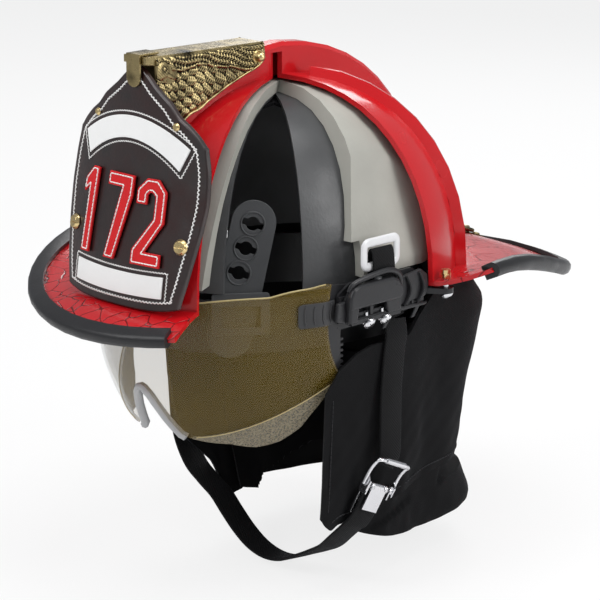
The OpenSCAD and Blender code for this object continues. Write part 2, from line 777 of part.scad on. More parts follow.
// The tables' widths are for this end, and spread with the lens
table_end = 94.6;
function spread(t) = [for (p = t) [p[0] * lens_end / table_end, p[1]]];
lens_low = spread([[0, -18.7], [4, -19.2], [8, -21], [12, -25], [15.5, -29.5], [19, -33.4], [24, -34.8],
    [46, -38.4],
    [57, -42.6], [68, -44.4], [78, -43.8], [88, -39.4], [92, -37], [table_end, -32]]);
lens_high = spread([[0, 3.6], [42, 4.2], [77, 7.9], [90, 12.9], [table_end, 16.5]]);
function lens_reach(a, d) = lens_r + lens_grow * max(0, min(1, (4 - a) / 24)) + d;
function lens_rad(x, a, d) = lens_reach(a, d) * lens_round(x / (lens_w + 0.7 * d));
function lens_pt(x, a, d) = [x, pivot_y - lens_rad(x, a, d) * cos(a), pivot_z + lens_rad(x, a, d) * sin(a)];

module lens_patch(xs, low, high, rows, inside, outside) {
    face = function(d) [for (v = [0:rows]) [for (x = xs)
        let (a0 = lookup(abs(x), low), a1 = lookup(abs(x), high))
        lens_pt(x, a0 + (a1 - a0) * v / rows, d)]];
    sheet(face(outside), face(inside));
}

lens_half = [for (x = [4, 8, 12, 15.5, 19, 24, 31, 38.5, 46, 57, 68, 78, 84, 88, 92, table_end])
    x * lens_end / table_end];
lens_xs = concat([for (k = [len(lens_half) - 1:-1:0]) -lens_half[k]], [0], lens_half);

module visor_lens() {
    color(amber) lens_patch(lens_xs, lens_low, lens_high, 7, -lens_t / 2, lens_t / 2);
}

// Soft nose guard along the notch
module nose_guard() {
    bead = 2.9;
    color([0.6, 0.6, 0.6]) loft([for (x = [-21:2.1:21.1]) let (p = lens_pt(x, lookup(abs(x), lens_low), 0),
        q = lens_pt(x + 0.5, lookup(abs(x + 0.5), lens_low), 0), way = (q - p) / norm(q - p),
        out = (p - [x, pivot_y, pivot_z]) / norm(p - [x, pivot_y, pivot_z]), up = cross(out, way),
        mid = p - up * (bead + 0.2))
        [for (k = [0:7]) mid + bead * (cos(45 * k) * up + sin(45 * k) * out)]]);
}

// Visor arms, between the lens's ends and the brackets
function arm_rim(a) = let (k = lens_rad(lens_end, a, -lens_t / 2) - 0.15) [-k * cos(a), k * sin(a)];
arm_strip_y = -arm_rim(-32)[0] - 1.96;

module arm_plate() {
    difference() {
        union() {
            circle(r = 10);
            polygon(concat([[0, 9.6]], [for (a = [16:-4:-32]) arm_rim(a)],
                [[-arm_strip_y, -38], [-arm_strip_y, -11], [0, -9.6]]));
            for (k = [0:5]) translate([-arm_strip_y, -36 + 3.6 * k]) square([2.4, 1.8]);
        }
        circle(r = pin_r + pin_gap);
        polygon([[-18, 3], [-48, 9], [-48, -16], [-18, -6]]);
    }
}

module visor_arm() {
    translate([arm_x, pivot_y, pivot_z]) rotate([90, 0, 90]) linear_extrude(arm_t) arm_plate();
}

module visor_arm_left() {
    color(grey) visor_arm();
}

module visor_arm_right() {
    color(grey) on_right() visor_arm();
}

// Ribbed pull grips on the lens's outside
grip_xs = [for (x = [5.2, 3.7, 2.4, 1.2, 0.2]) lens_end - x];
grip_in = lens_end - 14.6;
grip_out = lens_end + 0.4;

module visor_grip() {
    low = [[grip_in, -2.8], [grip_out, -4.6]];
    high = [[grip_in, 6.2], [grip_out, 6.6]];
    lens_patch(grip_xs, low, high, 4, lens_t / 2 + 0.1, lens_t / 2 + 1);
    for (k = [0, 2, 3]) lens_patch([grip_xs[k], grip_xs[k] + 0.5], [[grip_in, -2.4], [grip_out, -4.2]],
        [[grip_in, 5.6], [grip_out, 6]],
        3, lens_t / 2 + 0.8, lens_t / 2 + 1.8);
}

module visor_grip_left() {
    color(grey) fuse() visor_grip();
}

module visor_grip_right() {
    color(grey) fuse() on_right() visor_grip();
}

// Side brackets: an inner plate that carries the pin, a flange under the brim, and an outer cover
bracket_x = arm_x + arm_t + 0.3;
bracket_t = 1.8;
ring_web_t = 1.4;
cover_x = bracket_x + bracket_t + ring_web_t + 0.6;
cover_t = 1.6;
flange_z = -6;
flange_t = 3.4;
bracket_front = -41;
cover_screw_ys = [-20, -6];

module pivot_pin() {
    translate([arm_x - 1.4, pivot_y, pivot_z]) rotate([0, 90, 0]) {
        cylinder(r = pin_r, h = 1.4 + arm_t + 0.3 + bracket_t);
        cylinder(r = pin_r + 2, h = 1.2);
    }
}

module pivot_pin_left() {
    color(steel) pivot_pin();
}

module pivot_pin_right() {
    color(steel) on_right() pivot_pin();
}

module side_bracket() {
    difference() {
        union() {
            translate([bracket_x, 0, 0]) rotate([90, 0, 90]) linear_extrude(bracket_t)
                offset(r = 3, $fn = 24) polygon([[bracket_front + 3, -10], [33, -10], [33, 4], [24, 9],
                    [-29, 9], [bracket_front + 3, 4]]);
            // Front and rear walls that carry the cover
            for (y = [bracket_front, 29]) translate([bracket_x + bracket_t - 0.1, y, -11])
                cube([ring_web_t + 0.5, 5, 16]);
            // Rear tab under the brim
            translate([bracket_x, 29, flange_z]) cube([3.6, 7, flange_t]);
            translate([0, 0, flange_z]) linear_extrude(flange_t)
                hull() {
                    translate([bracket_x, 33.4]) square([5, 3]);
                    translate(bracket_screw_at) circle(r = 5, $fn = 32);
                }
        }
        translate([bracket_x - 5, pivot_y, pivot_z]) rotate([0, 90, 0]) cylinder(r = pin_r, h = 20);
        translate([bracket_screw_at[0], bracket_screw_at[1], flange_z - 5])
            cylinder(r = bracket_screw_r + 0.1, h = 20);
    }
}

module side_bracket_left() {
    color(grey) side_bracket();
}

module side_bracket_right() {
    color(grey) on_right() side_bracket();
}

module bracket_cover() {
    difference() {
        union() {
            translate([cover_x, 0, 0]) rotate([90, 0, 90]) linear_extrude(cover_t)
                offset(r = 3, $fn = 24) polygon([[bracket_front + 6, -9], [30, -9], [30, 0], [12, 6],
                    [-31, 7], [bracket_front + 6, 2]]);
            for (y = [16, 21, 26]) translate([cover_x + cover_t - 0.1, y, -11]) cube([1.1, 1.6, 14]);
            // Ledge for the two lower screws
            translate([cover_x, bracket_front + 6, -13.4]) cube([4.4, 44, 3]);
        }
        for (y = cover_screw_ys) translate([cover_x + 2.2, y, -20]) cylinder(r = 1.3, h = 16);
        translate([cover_x - 1, -27, -7]) cube([10, 24, 6]);
    }
}

module bracket_cover_left() {
    color(grey) bracket_cover();
}

module bracket_cover_right() {
    color(grey) on_right() bracket_cover();
}

// Pan-head screws below: two through each cover ledge, one up through the brim
module pan_screw(r, head_r, length) {
    difference() {
        union() {
            cylinder(r = r, h = length);
            translate([0, 0, -1.6]) cylinder(r1 = head_r * 0.7, r2 = head_r, h = 1.7);
        }
        translate([-head_r, -0.5, -2]) cube([2 * head_r, 1, 1]);
    }
}

module bracket_screws() {
    color(steel) both_sides() {
        for (y = cover_screw_ys) translate([cover_x + 2.2, y, -13.5]) pan_screw(1.2, 3.4, 6);
        translate([bracket_screw_at[0], bracket_screw_at[1], flange_z - 0.1])
            pan_screw(bracket_screw_r, 4.2, nut_z - flange_z + 4.4);
    }
}

// Brass nuts above the brim, clear of it at their outer rim
nut_r = 3.6;
nut_a = atan2(bracket_screw_at[1], bracket_screw_at[0]);
nut_s = (norm(bracket_screw_at) + nut_r - brim_in(nut_a)) / (brim_out(nut_a) - brim_in(nut_a));
nut_z = brim_pt(nut_a, nut_s, brim_t / 2)[1] + seat;

module bracket_nuts() {
    color(brass) both_sides() translate([bracket_screw_at[0], bracket_screw_at[1], nut_z]) difference() {
        union() {
            cylinder(r = nut_r, h = 3, $fn = 6);
            translate([0, 0, 2.9]) cylinder(r = 3, h = 2.6);
        }
        translate([0, 0, -1]) cylinder(r = bracket_screw_r + 0.1, h = 5.6);
    }
}

// Rectangular strap rings above the brackets
ring_mid = [bracket_x + 4, -5.5, 27.5];
ring_w = 34;
ring_h = 20;
ring_t = 1.8;

module strap_ring() {
    translate([ring_mid[0] - ring_t / 2, ring_mid[1], ring_mid[2]]) rotate([90, 0, 90])
        linear_extrude(ring_t) difference() {
        offset(r = 2, $fn = 24) square([ring_w - 4, ring_h - 4], center = true);
        offset(r = 1, $fn = 24) square([ring_w - 14, ring_h - 13], center = true);
    }
}

module strap_ring_left() {
    color(white) strap_ring();
}

module strap_ring_right() {
    color(white) on_right() strap_ring();
}

// Flat strap along a route of points; its width lies along Y, and leans by lean at the far end
function strap_loops(route, w, t, lean = 0) = let (n = len(route)) [for (k = [0:n - 1])
    let (a = route[max(k - 1, 0)], b = route[min(k + 1, n - 1)], way = (b - a) / norm(b - a),
        tilt = ease(0, lean, 2 * k / (n - 1) - 1), side = [0, cos(tilt), -sin(tilt)] * w / 2,
        flat = cross(way, side), out = flat / norm(flat) * t / 2, p = route[k])
    [p + side - out, p + side + out, p - side + out, p - side - out]];

// Webbing from the ring down behind the bracket cover
strap_x = bracket_x + bracket_t + seat + 0.1 + ring_web_t / 2;
tuck_x = ring_mid[0] - ring_t / 2 - seat - ring_web_t / 2;
ring_route = [[tuck_x, -5, 32], [tuck_x, -4, 17], [strap_x, 0, 8], [strap_x, 6.5, -9],
    [strap_x, 7, -13.6], [strap_x + 0.7, 7.5, -17]];

module ring_strap() {
    loft(strap_loops(ring_route, web_w, ring_web_t));
}

module ring_strap_left() {
    color(black) ring_strap();
}

module ring_strap_right() {
    color(black) on_right() ring_strap();
}

// Buckle frame: x outwards, y across the strap, z up along it
buckle_at = [strap_x - 2.4, -9, -125];
buckle_lean = 24;
buckle_tip = 12;
function in_buckle(p) = let (x = p[0] * cos(buckle_tip) + p[2] * sin(buckle_tip),
    z = p[2] * cos(buckle_tip) - p[0] * sin(buckle_tip))
    buckle_at + [x, p[1] * cos(buckle_lean) + z * sin(buckle_lean),
        z * cos(buckle_lean) - p[1] * sin(buckle_lean)];

// Chin strap from the right bracket under the chin to the buckle on the left
strap_route = [[-strap_x - 0.8, 8, -17.6], [-strap_x - 3.4, 7.8, -27], [-strap_x - 3.8, 7, -36],
    [-strap_x - 2.1, 5, -75], [1.4 - strap_x, 3, -104], [9.4 - strap_x, -1, -130],
    [-74, -4, -148], [-58, -6, -157], [-44, -8, -163], [-31, -10, -172], [-17, -12, -181], [-3, -13, -188],
    [12, -13.5, -191], [28, -15, -188.5], [44, -17, -181.3], [58, -19, -174.5], [71, -21, -167.3],
    [strap_x - 15.4, -23, -158], [strap_x - 6, -21.5, -148.5], in_buckle([3.9, 0, -19]),
    in_buckle([3.9, 0, -3])];
upper_route = [[strap_x + 0.8, 8, -17.6], [strap_x + 3.4, 7, -27], [strap_x + 3.8, 5, -36],
    [strap_x + 4, 2, -62], [strap_x + 4.2, 1.5, -84],
    in_buckle([2.2, 0, 24]), in_buckle([2.5, 0, 16])];

module chin_strap() {
    color(black) {
        loft(strap_loops(strap_route, web_w, web_t, buckle_lean));
        loft(strap_loops(upper_route, web_w, web_t));
    }
}

// Steel buckle: a toothed plate on the lower strap, a wire frame on the upper one, and a lever
module at_buckle() {
    translate(buckle_at) rotate([-buckle_lean, 0, 0]) rotate([0, buckle_tip, 0]) children();
}

module buckle_plate() {
    color(steel) at_buckle() difference() {
        union() {
            translate([1.4, -11, -16]) cube([1.4, 22, 16]);
            for (y = [-11, 9.8]) translate([1.4, y, -4]) cube([6, 1.2, 9]);
            for (k = [0:6]) translate([1.4, -10.4 + 3.1 * k, -18]) cube([1.4, 2, 2.2]);
        }
        translate([5, -20, 2]) rotate([-90, 0, 0]) cylinder(r = 1.3, h = 40);
    }
}

module buckle_lever() {
    color(steel) at_buckle() {
        translate([5, -13, 2]) rotate([-90, 0, 0]) cylinder(r = 1.2, h = 26);
        translate([5, -7, 2]) rotate([-90, 0, 0]) cylinder(r = 2.4, h = 14);
        translate([6.2, -7, -14]) cube([1.2, 14, 16]);
    }
}

// Wire frame, hooked over the lever's axle
module buckle_frame() {
    color(steel) at_buckle() {
        for (y = [-15, 13.4]) translate([4, y, 1]) cube([2, 1.6, 20]);
        translate([4, -15, 19.4]) cube([2, 30, 2.2]);
    }
}

// Cloth curtain round the ears and neck
curtain_top = -5.4 - seat;

// Half width and rear reach of the curtain at height z; the right flap is drawn in by the strap
curtain_side = dome_half_w - 8;
curtain_back = dome_rear - 10;
function curtain_w(z) = curtain_side - lookup(-z, [[6, 0], [20, 0.4], [50, 1.4], [90, 5], [125, 8.5],
    [150, 12]]);
function curtain_right_w(z) = curtain_side - lookup(-z, [[6, 0], [20, 1], [50, 3], [90, 6], [120, 13],
    [145, 27], [175, 43]]);
function curtain_rear(z) = curtain_back + lookup(-z, [[6, 0], [16, 20], [34, 37], [53, 31], [75, 21],
    [100, 16], [125, 12], [150, 4], [175, -4]]);

// Squarish ring in direction a
function box_r(a, w, f, r) = let (n = 2.5)
    pow(pow(abs(cos(a)) / w, n) + pow(abs(sin(a)) / (sin(a) < 0 ? f : r), n), -1 / n);

// Curtain radius in direction a at height z, with folds behind the ears that grow downwards
function curtain_k(a, z) = let (w = a < 90 ? curtain_w(z) : curtain_right_w(z),
    calm = max(0, 1 - pow(abs(a - 90) / 78, 4)), fold = 3.6 * sin(a * 10) * calm * min(1, (-z - 6) / 60))
    box_r(a, w, w * 2.2, curtain_rear(z)) + fold;
function ring_pt(a, z, k) = [k * cos(a), k * sin(a), z];

// Lower and upper edges of the curtain, from the left front flap round to the right one
curtain_a0 = -28;
curtain_a1 = 186;
curtain_steps = 50;
function curtain_a(k) = curtain_a0 + (curtain_a1 - curtain_a0) * k / curtain_steps;
function curtain_low(a) = lookup(a, [[-28, -139.5], [-26, -145.5], [-23, -150], [-20, -146.5],
    [-12, -146], [4, -143],
    [16, -139], [34, -133], [60, -130], [120, -132], [142, -146], [156, -171], [170, -172], [174, -150],
    [186, -132]]);
function curtain_high(a) = lookup(a, [[-28, -56], [-22, -41], [-15, -34], [-8, -31], [12, -31], [17, -20],
    [21, -14], [28, curtain_top], [152, curtain_top], [159, -14], [163, -20], [168, -31], [180, -31],
        [186, -70]]);

module curtain() {
    rows = 7;
    face = function(d) [for (v = [rows:-1:0]) [for (k = [0:curtain_steps]) let (a = curtain_a(k),
        z = curtain_high(a) + (curtain_low(a) - curtain_high(a)) * v / rows)
            ring_pt(a, z, curtain_k(a, z) + d)]];
    color(black) sheet(face(0), face(-cloth_t));
}

// Longer flap, sewn along its top to the curtain's inside, that flares at its foot behind the neck
function flap_w(z) = curtain_side - lookup(-z, [[90, 17], [132, 19], [150, 20], [170, 18], [180, 20]]);
function flap_rear(z) = curtain_back + lookup(-z, [[90, 6], [128, 6], [150, 23], [168, 31], [180, 27]]);
function flap_z(a, v) = -92 - (82 - 12 * pow(abs(a - 86) / 86, 4)) * v;
function flap_k(a, v) = let (z = flap_z(a, v), tied = ease(1, 0, v / 0.35),
    own = box_r(a, flap_w(z), curtain_side - 10, flap_rear(z)) + 3 * sin(a * 7) * v, room =
        curtain_k(a, z) - cloth_t - 3 * seat)
    z > curtain_low(a) - 18 ? min(own + (room - own) * tied, room - 4 * (1 - tied)) : own;

module neck_flap() {
    rows = 6;
    face = function(d) [for (v = [rows:-1:0]) [for (k = [5:44]) let (a = curtain_a(k))
        ring_pt(a, flap_z(a, v / rows), flap_k(a, v / rows) + d)]];
    color(black) sheet(face(0), face(-cloth_t));
}

// Band inside the dome's foot that the curtain hangs from
module curtain_band() {
    steps = 32;
    color(black) loft([for (k = [0:steps]) let (a = 27 + 126 * k / steps)
        [for (p = [[-7, -5.4], [-7, 5], [-4, 5], [-4, -2.2], [-0.4, -2.2], [-0.4, -5.4]])
            let (r = ring_r(a, dome_half_w - shell_t, dome_front, dome_rear - shell_t) + p[0])
                [r * cos(a), r * sin(a), p[1]]]]);
}

// Hanger at the rear of the brim: a folded plate, its D ring and two rivets
hanger_t = 1.4;
hanger_lift = 0.6;

module hanger_bracket() {
    top = brim_t / 2 + hanger_lift;
    color(brass) at_brim(hanger_a, 0.82) difference() {
        union() {
            translate([-hanger_w / 2, -9, top]) cube([hanger_w, 14, hanger_t]);
            translate([-7, -9, top]) rotate([0, 90, 0]) translate([-3, 0, 0]) cylinder(r = 3, h = 14);
        }
        translate([-20, -9, top + 3]) rotate([0, 90, 0]) cylinder(r = 1.6, h = 40);
        for (side = [-1, 1]) translate([side * hanger_w / 3, 0, top - 2])
            cylinder(r = hanger_rivet_r + 0.1, h = 9);
    }
}

module hanger_ring() {
    top = brim_t / 2 + hanger_lift;
    color(brass) at_brim(hanger_a, 0.82) translate([0, -9, top + 3]) {
        rotate([0, 90, 0]) cylinder(r = 1.4, h = 22, center = true);
        for (side = [-1, 1]) translate([side * 11, 0, 0]) rotate([90, 0, 0]) cylinder(r = 1.4, h = 14);
        translate([0, -14, 0]) rotate([0, 90, 0]) cylinder(r = 1.4, h = 22, center = true);
        for (x = [-11, 11], y = [0, -14]) translate([x, y, 0]) sphere(r = 1.4);
    }
}

module hanger_rivets() {
    color(brass) for (side = [-1, 1]) at_brim(hanger_a, 0.82) translate([side * hanger_w / 3, 0, 0]) {
        translate([0, 0, -brim_t / 2 - 0.8]) cylinder(r = hanger_rivet_r, h = brim_t + 3);
        translate([0, 0, brim_t / 2 + hanger_lift + hanger_t + 0.1]) cylinder(r1 = 3, r2 = 2.2, h = 1.3);
        translate([0, 0, -brim_t / 2 - 2]) cylinder(r = 3, h = 1.2);
    }
}

outer_shell();
edge_trim();
impact_liner();
inner_cap();
crown_straps();
headband();
brow_pad();
key_tab_left();
key_tab_right();
tab_buckles();
ratchet_housing();
ratchet_cover();
ratchet_knob();
rack_left();
rack_right();
nape_pad();
front_shield();
shield_upper_panel();
shield_lower_panel();
shield_number();
shield_screws();
shield_rivets();
eagle_holder();
eagle_clip();
eagle_screw();
visor_lens();
nose_guard();
visor_arm_left();
visor_arm_right();
visor_grip_left();
visor_grip_right();
pivot_pin_left();
pivot_pin_right();
side_bracket_left();
side_bracket_right();
bracket_cover_left();
bracket_cover_right();
bracket_screws();
bracket_nuts();
strap_ring_left();
strap_ring_right();
ring_strap_left();
ring_strap_right();
chin_strap();
buckle_plate();
buckle_lever();
buckle_frame();
curtain();
neck_flap();
curtain_band();
hanger_bracket();
hanger_ring();
hanger_rivets();
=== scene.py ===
import json
import math

import bmesh
import bpy
import numpy as np
from mathutils import Matrix, Vector

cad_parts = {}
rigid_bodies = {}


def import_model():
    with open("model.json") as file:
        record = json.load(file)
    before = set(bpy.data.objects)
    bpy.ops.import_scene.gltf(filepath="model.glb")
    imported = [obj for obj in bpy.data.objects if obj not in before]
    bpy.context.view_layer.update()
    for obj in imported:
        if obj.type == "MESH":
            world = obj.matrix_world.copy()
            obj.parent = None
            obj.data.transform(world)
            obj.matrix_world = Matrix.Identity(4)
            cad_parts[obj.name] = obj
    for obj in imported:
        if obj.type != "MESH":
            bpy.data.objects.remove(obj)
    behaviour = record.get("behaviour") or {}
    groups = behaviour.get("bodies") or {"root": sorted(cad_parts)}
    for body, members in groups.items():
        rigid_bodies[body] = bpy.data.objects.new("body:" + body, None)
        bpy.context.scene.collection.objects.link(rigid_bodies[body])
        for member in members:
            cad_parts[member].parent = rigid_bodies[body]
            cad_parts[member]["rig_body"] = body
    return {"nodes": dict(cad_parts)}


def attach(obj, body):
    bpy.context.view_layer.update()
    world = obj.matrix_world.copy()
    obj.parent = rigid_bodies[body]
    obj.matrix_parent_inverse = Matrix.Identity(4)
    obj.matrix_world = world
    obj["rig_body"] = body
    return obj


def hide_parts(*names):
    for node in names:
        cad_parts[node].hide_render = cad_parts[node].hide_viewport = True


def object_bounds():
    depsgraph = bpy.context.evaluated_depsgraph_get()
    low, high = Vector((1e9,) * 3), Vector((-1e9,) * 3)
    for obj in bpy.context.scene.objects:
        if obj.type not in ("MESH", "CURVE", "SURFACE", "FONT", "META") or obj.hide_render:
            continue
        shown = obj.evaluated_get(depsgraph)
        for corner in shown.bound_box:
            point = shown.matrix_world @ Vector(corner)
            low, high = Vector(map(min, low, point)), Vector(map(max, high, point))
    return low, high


# Visual model of a traditional fire helmet, cut away on the wearer's left.
# Shapes are in millimetres, as in the part's source, and turn into metres where a mesh is made.
# Materials, lights, floor and camera are in metres.

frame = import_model()
cad_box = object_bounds()
nodes = frame["nodes"]
MM = 0.001
SIDES = ((1, "left"), (-1, "right"))

# Measures repeated from the part's source
PIVOT = (22, -6)
LENS_R, LENS_GROW, LENS_T, LENS_W, LENS_END = 143.6, 4, 2, 107, 94.6
BADGE_H, BADGE_HALF_W, BADGE_T = 145, 60.5, 4
BADGE_FRONT, BADGE_BEND = 134.8, 0.0027
EAGLE_TOP = 151.8
BAND_W, BAND_F, BAND_Y = 78, 120, 21
TAB_A, TAB_LEAN, TAB_FACE = -61.0, 9.0, 2.7
KEY_R, KEY_AT, KEY_PITCH = 7.3, (1.8, 47.4), (4.7, 15)
RING_MID, RING_W, RING_H = (98.5, -5.5, 27.5), 34, 20
FIG_W, FIG_H = 23, 53
WEB_W, WEB_T, RING_WEB_T, STRAP_X = 19, 1.8, 1.2, 97.4
BUCKLE_AT, BUCKLE_LEAN, BUCKLE_TIP = np.array([95, -9, -125.0]), 24.0, 12.0
CLOTH_T = 2.4
CURTAIN_ENDS = (-28, 186)
# Flat sizes of the two cloths, in metres
CURTAIN_FLAT, FLAP_FLAT = (0.42, 0.13), (0.37, 0.08)


def sind(a):
    return np.sin(np.radians(a))


def cosd(a):
    return np.cos(np.radians(a))


def unit(x):
    """x, kept between 0 and 1."""
    return np.clip(x, 0, 1)


def ease(a, b, x):
    return a + (b - a) * (1 - cosd(180 * unit(x))) / 2


def lookup(x, table, soft=0.0):
    """Value from a table of pairs, rounded off over the distance soft."""
    xs, ys = np.array(table, float).T
    if not soft:
        return np.interp(x, xs, ys)
    return np.mean([np.interp(x + soft * k, xs, ys) for k in np.linspace(-1, 1, 9)], axis=0)


def stacked(x, y, z):
    """Points from three coordinates, single ones or grids."""
    return np.stack(np.broadcast_arrays(x, y, z), -1)


# Materials


class Nodes:
    """Short way to build the nodes of a new material, or of a world."""

    def __init__(self, name, world=None):
        self.mat = world or bpy.data.materials.new(name)
        self.mat.use_nodes = True
        self.tree = self.mat.node_tree
        out = next(node for node in self.tree.nodes if node.name.endswith("Output"))
        self.surface = out.inputs["Surface"]
        self.shader = self.surface.links[0].from_node
        self.coord = self.add("ShaderNodeTexCoord").outputs["Object"]

    def add(self, kind, inputs=None, **settings):
        node = self.tree.nodes.new(kind)
        for key, value in settings.items():
            setattr(node, key, value)
        for key, value in (inputs or {}).items():
            self.put(node.inputs[key], value)
        return node

    def put(self, socket, value):
        if isinstance(value, bpy.types.NodeSocket):
            self.tree.links.new(value, socket)
        elif socket.type == "RGBA":
            socket.default_value = (*value, 1.0)
        else:
            socket.default_value = value

    def set(self, **values):
        for key, value in values.items():
            self.put(self.shader.inputs[key.replace("_", " ")], value)

    def noise(self, scale, detail=3.0, rough=0.5, coord=None):
        return self.add("ShaderNodeTexNoise", {"Vector": coord or self.coord, "Scale": scale,
                                               "Detail": detail, "Roughness": rough}).outputs["Fac"]

    def cells(self, scale, feature="SMOOTH_F1", coord=None):
        place = {"Vector": coord or self.coord, "Scale": scale}
        return self.add("ShaderNodeTexVoronoi", place, feature=feature).outputs["Distance"]

    def math(self, operation, a, b=0.0, clamp=False):
        node = self.add("ShaderNodeMath", {0: a, 1: b}, operation=operation, use_clamp=clamp)
        return node.outputs[0]

    def times(self, a, b, clamp=False):
        return self.math("MULTIPLY", a, b, clamp)

    def plus(self, a, b):
        return self.math("ADD", a, b)

    def seen(self):
        """1 where the camera sees the surface, through glass too."""
        path = self.add("ShaderNodeLightPath").outputs
        return self.math("MAXIMUM", path["Is Camera Ray"], path["Is Transmission Ray"])

    def show(self, share, shader, other):
        """The surface shows one shader, and the other by its share."""
        both = self.add("ShaderNodeMixShader", {0: share, 1: shader, 2: other})
        self.put(self.surface, both.outputs[0])

    def span(self, value, low=0.3, high=0.7, to_low=0.0, to_high=1.0):
        ends = {"Value": value, "From Min": low, "From Max": high, "To Min": to_low,
                "To Max": to_high}
        return self.add("ShaderNodeMapRange", ends, clamp=True).outputs["Result"]

    def mix(self, factor, a, b):
        node = self.add("ShaderNodeMix", data_type="RGBA")
        for key, value in ((0, factor), (6, a), (7, b)):
            self.put(node.inputs[key], value)
        return node.outputs[2]

    def axes(self):
        parts = self.add("ShaderNodeSeparateXYZ", {0: self.coord}).outputs
        return parts[0], parts[1], parts[2]

    def stretched(self, scale):
        place = {"Vector": self.coord, "Scale": scale}
        return self.add("ShaderNodeMapping", place).outputs["Vector"]

    def bump(self, height, distance):
        inputs = {"Height": height, "Distance": distance, "Strength": 1.0}
        return self.add("ShaderNodeBump", inputs).outputs["Normal"]


def darker(base, share):
    return [c * share for c in base]


def plastic(name, base, rough, grain=900.0, depth=6e-5, vary=0.25, coat=0.0):
    """Moulded plastic: a fine grain, slightly uneven gloss and tone."""
    n = Nodes(name)
    tone = n.span(n.noise(35.0, 4.0))
    n.set(Base_Color=n.mix(tone, darker(base, 1 - vary), base), Specular_IOR_Level=0.35,
          Roughness=n.span(n.noise(60.0), 0.3, 0.7, rough - 0.06, rough + 0.06),
          Normal=n.bump(n.noise(grain, 2.0), depth))
    if coat:
        n.set(Coat_Weight=coat, Coat_Roughness=0.08)
    return n.mat


def metal(name, base, rough, dark=None, marks=4e-5):
    """Metal with fine scratches, and tarnish in its hollows where dark is given."""
    n = Nodes(name)
    tint = base
    if dark:
        hollow = n.span(n.add("ShaderNodeNewGeometry").outputs["Pointiness"], 0.482, 0.512)
        worn = n.times(hollow, n.span(n.noise(70.0, 5.0), 0.22, 0.55), clamp=True)
        tint = n.mix(worn, dark, base)
    n.set(Base_Color=tint, Metallic=1.0,
          Roughness=n.span(n.noise(150.0, 4.0), 0.3, 0.7, rough - 0.07, rough + 0.09),
          Normal=n.bump(n.noise(800.0, 3.0, coord=n.stretched((1.0, 0.15, 1.0))), marks))
    return n.mat


def leather(name, base, rough, vary=0.45, grain=700.0, depth=0.00012, shine=0.3, waves=0.0):
    """Leather: fine pebbled grain, and tone and gloss that vary in soft clouds."""
    n = Nodes(name)
    clouds = n.span(n.noise(45.0, 6.0, 0.65), 0.35, 0.68)
    relief = n.plus(n.times(n.cells(grain), 0.5), n.times(n.noise(90.0, 5.0, 0.6), 0.8))
    relief = n.plus(relief, n.times(n.noise(24.0, 2.0), waves))
    n.set(Base_Color=n.mix(clouds, darker(base, 1 - vary), base), Specular_IOR_Level=shine,
          Roughness=n.span(clouds, 0.0, 1.0, rough + 0.16, rough - 0.08),
          Normal=n.bump(relief, depth), Coat_Weight=0.04 * waves, Coat_Roughness=0.24)
    return n.mat


def woven(name, base, pitch, depth, sheen=0.3, rough=0.85, deep=0.6):
    """Cloth: warp and weft at right angles, with uneven tone."""
    n = Nodes(name)
    x, y, z = n.axes()
    wave = 2 * math.pi / pitch
    warp, weft = (n.math("SINE", n.times(way, wave)) for way in (n.plus(x, y), z))
    relief = n.plus(n.times(warp, weft), n.times(n.noise(500.0, 4.0), 0.8))
    tone = n.span(n.noise(22.0, 4.0))
    n.set(Base_Color=n.mix(tone, darker(base, deep), base), Roughness=rough, Sheen_Weight=sheen,
          Sheen_Roughness=0.4, Sheen_Tint=(0.6, 0.6, 0.65), Specular_IOR_Level=0.12,
          Normal=n.bump(relief, depth))
    return n.mat


def shell_paint():
    """Glossy red shell; the brim is tooled all over with fine scrolling lines."""
    n = Nodes("shell_red_gloss")
    dome_x, dome_y = 0.108, 0.131
    x, y, _ = n.axes()
    square = n.plus(n.math("POWER", n.times(x, 1 / dome_x), 2.0),
                    n.math("POWER", n.times(y, 1 / dome_y), 2.0))
    brim = n.span(square, 1.10, 1.20)
    swirl = n.add("ShaderNodeTexNoise", {"Vector": n.coord, "Scale": 24.0, "Detail": 2.0})
    push = n.add("ShaderNodeVectorMath", {0: swirl.outputs["Color"], "Scale": 0.03},
                 operation="SCALE")
    warped = n.add("ShaderNodeVectorMath", {0: n.coord, 1: push.outputs[0]}, operation="ADD")
    lines = n.span(n.cells(74.0, "DISTANCE_TO_EDGE", warped.outputs[0]), 0.0, 0.035)
    tooling = n.times(n.math("SUBTRACT", 1.0, lines), brim)
    skin = n.math("SUBTRACT", n.times(n.noise(260.0, 2.0), 0.12), tooling)
    n.set(Base_Color=n.mix(tooling, (0.5, 0.006, 0.01), (0.03, 0.001, 0.001)),
          Roughness=n.span(n.noise(30.0), 0.3, 0.7, 0.22, 0.29), Normal=n.bump(skin, 0.00045),
          Coat_Weight=0.25, Coat_Roughness=0.05, Specular_IOR_Level=0.34)
    return n.mat


def foam_beads():
    """Smooth moulded foam skin with the beads just showing."""
    n = Nodes("liner_foam_beads")
    tone = n.span(n.noise(22.0, 4.0))
    beads = n.times(n.cells(420.0), 0.5)
    skin = n.plus(beads, n.noise(60.0, 3.0))
    n.set(Base_Color=n.mix(tone, (0.335, 0.33, 0.295), (0.4, 0.395, 0.355)), Roughness=0.48,
          Specular_IOR_Level=0.4, Normal=n.bump(skin, 0.00012))
    return n.mat


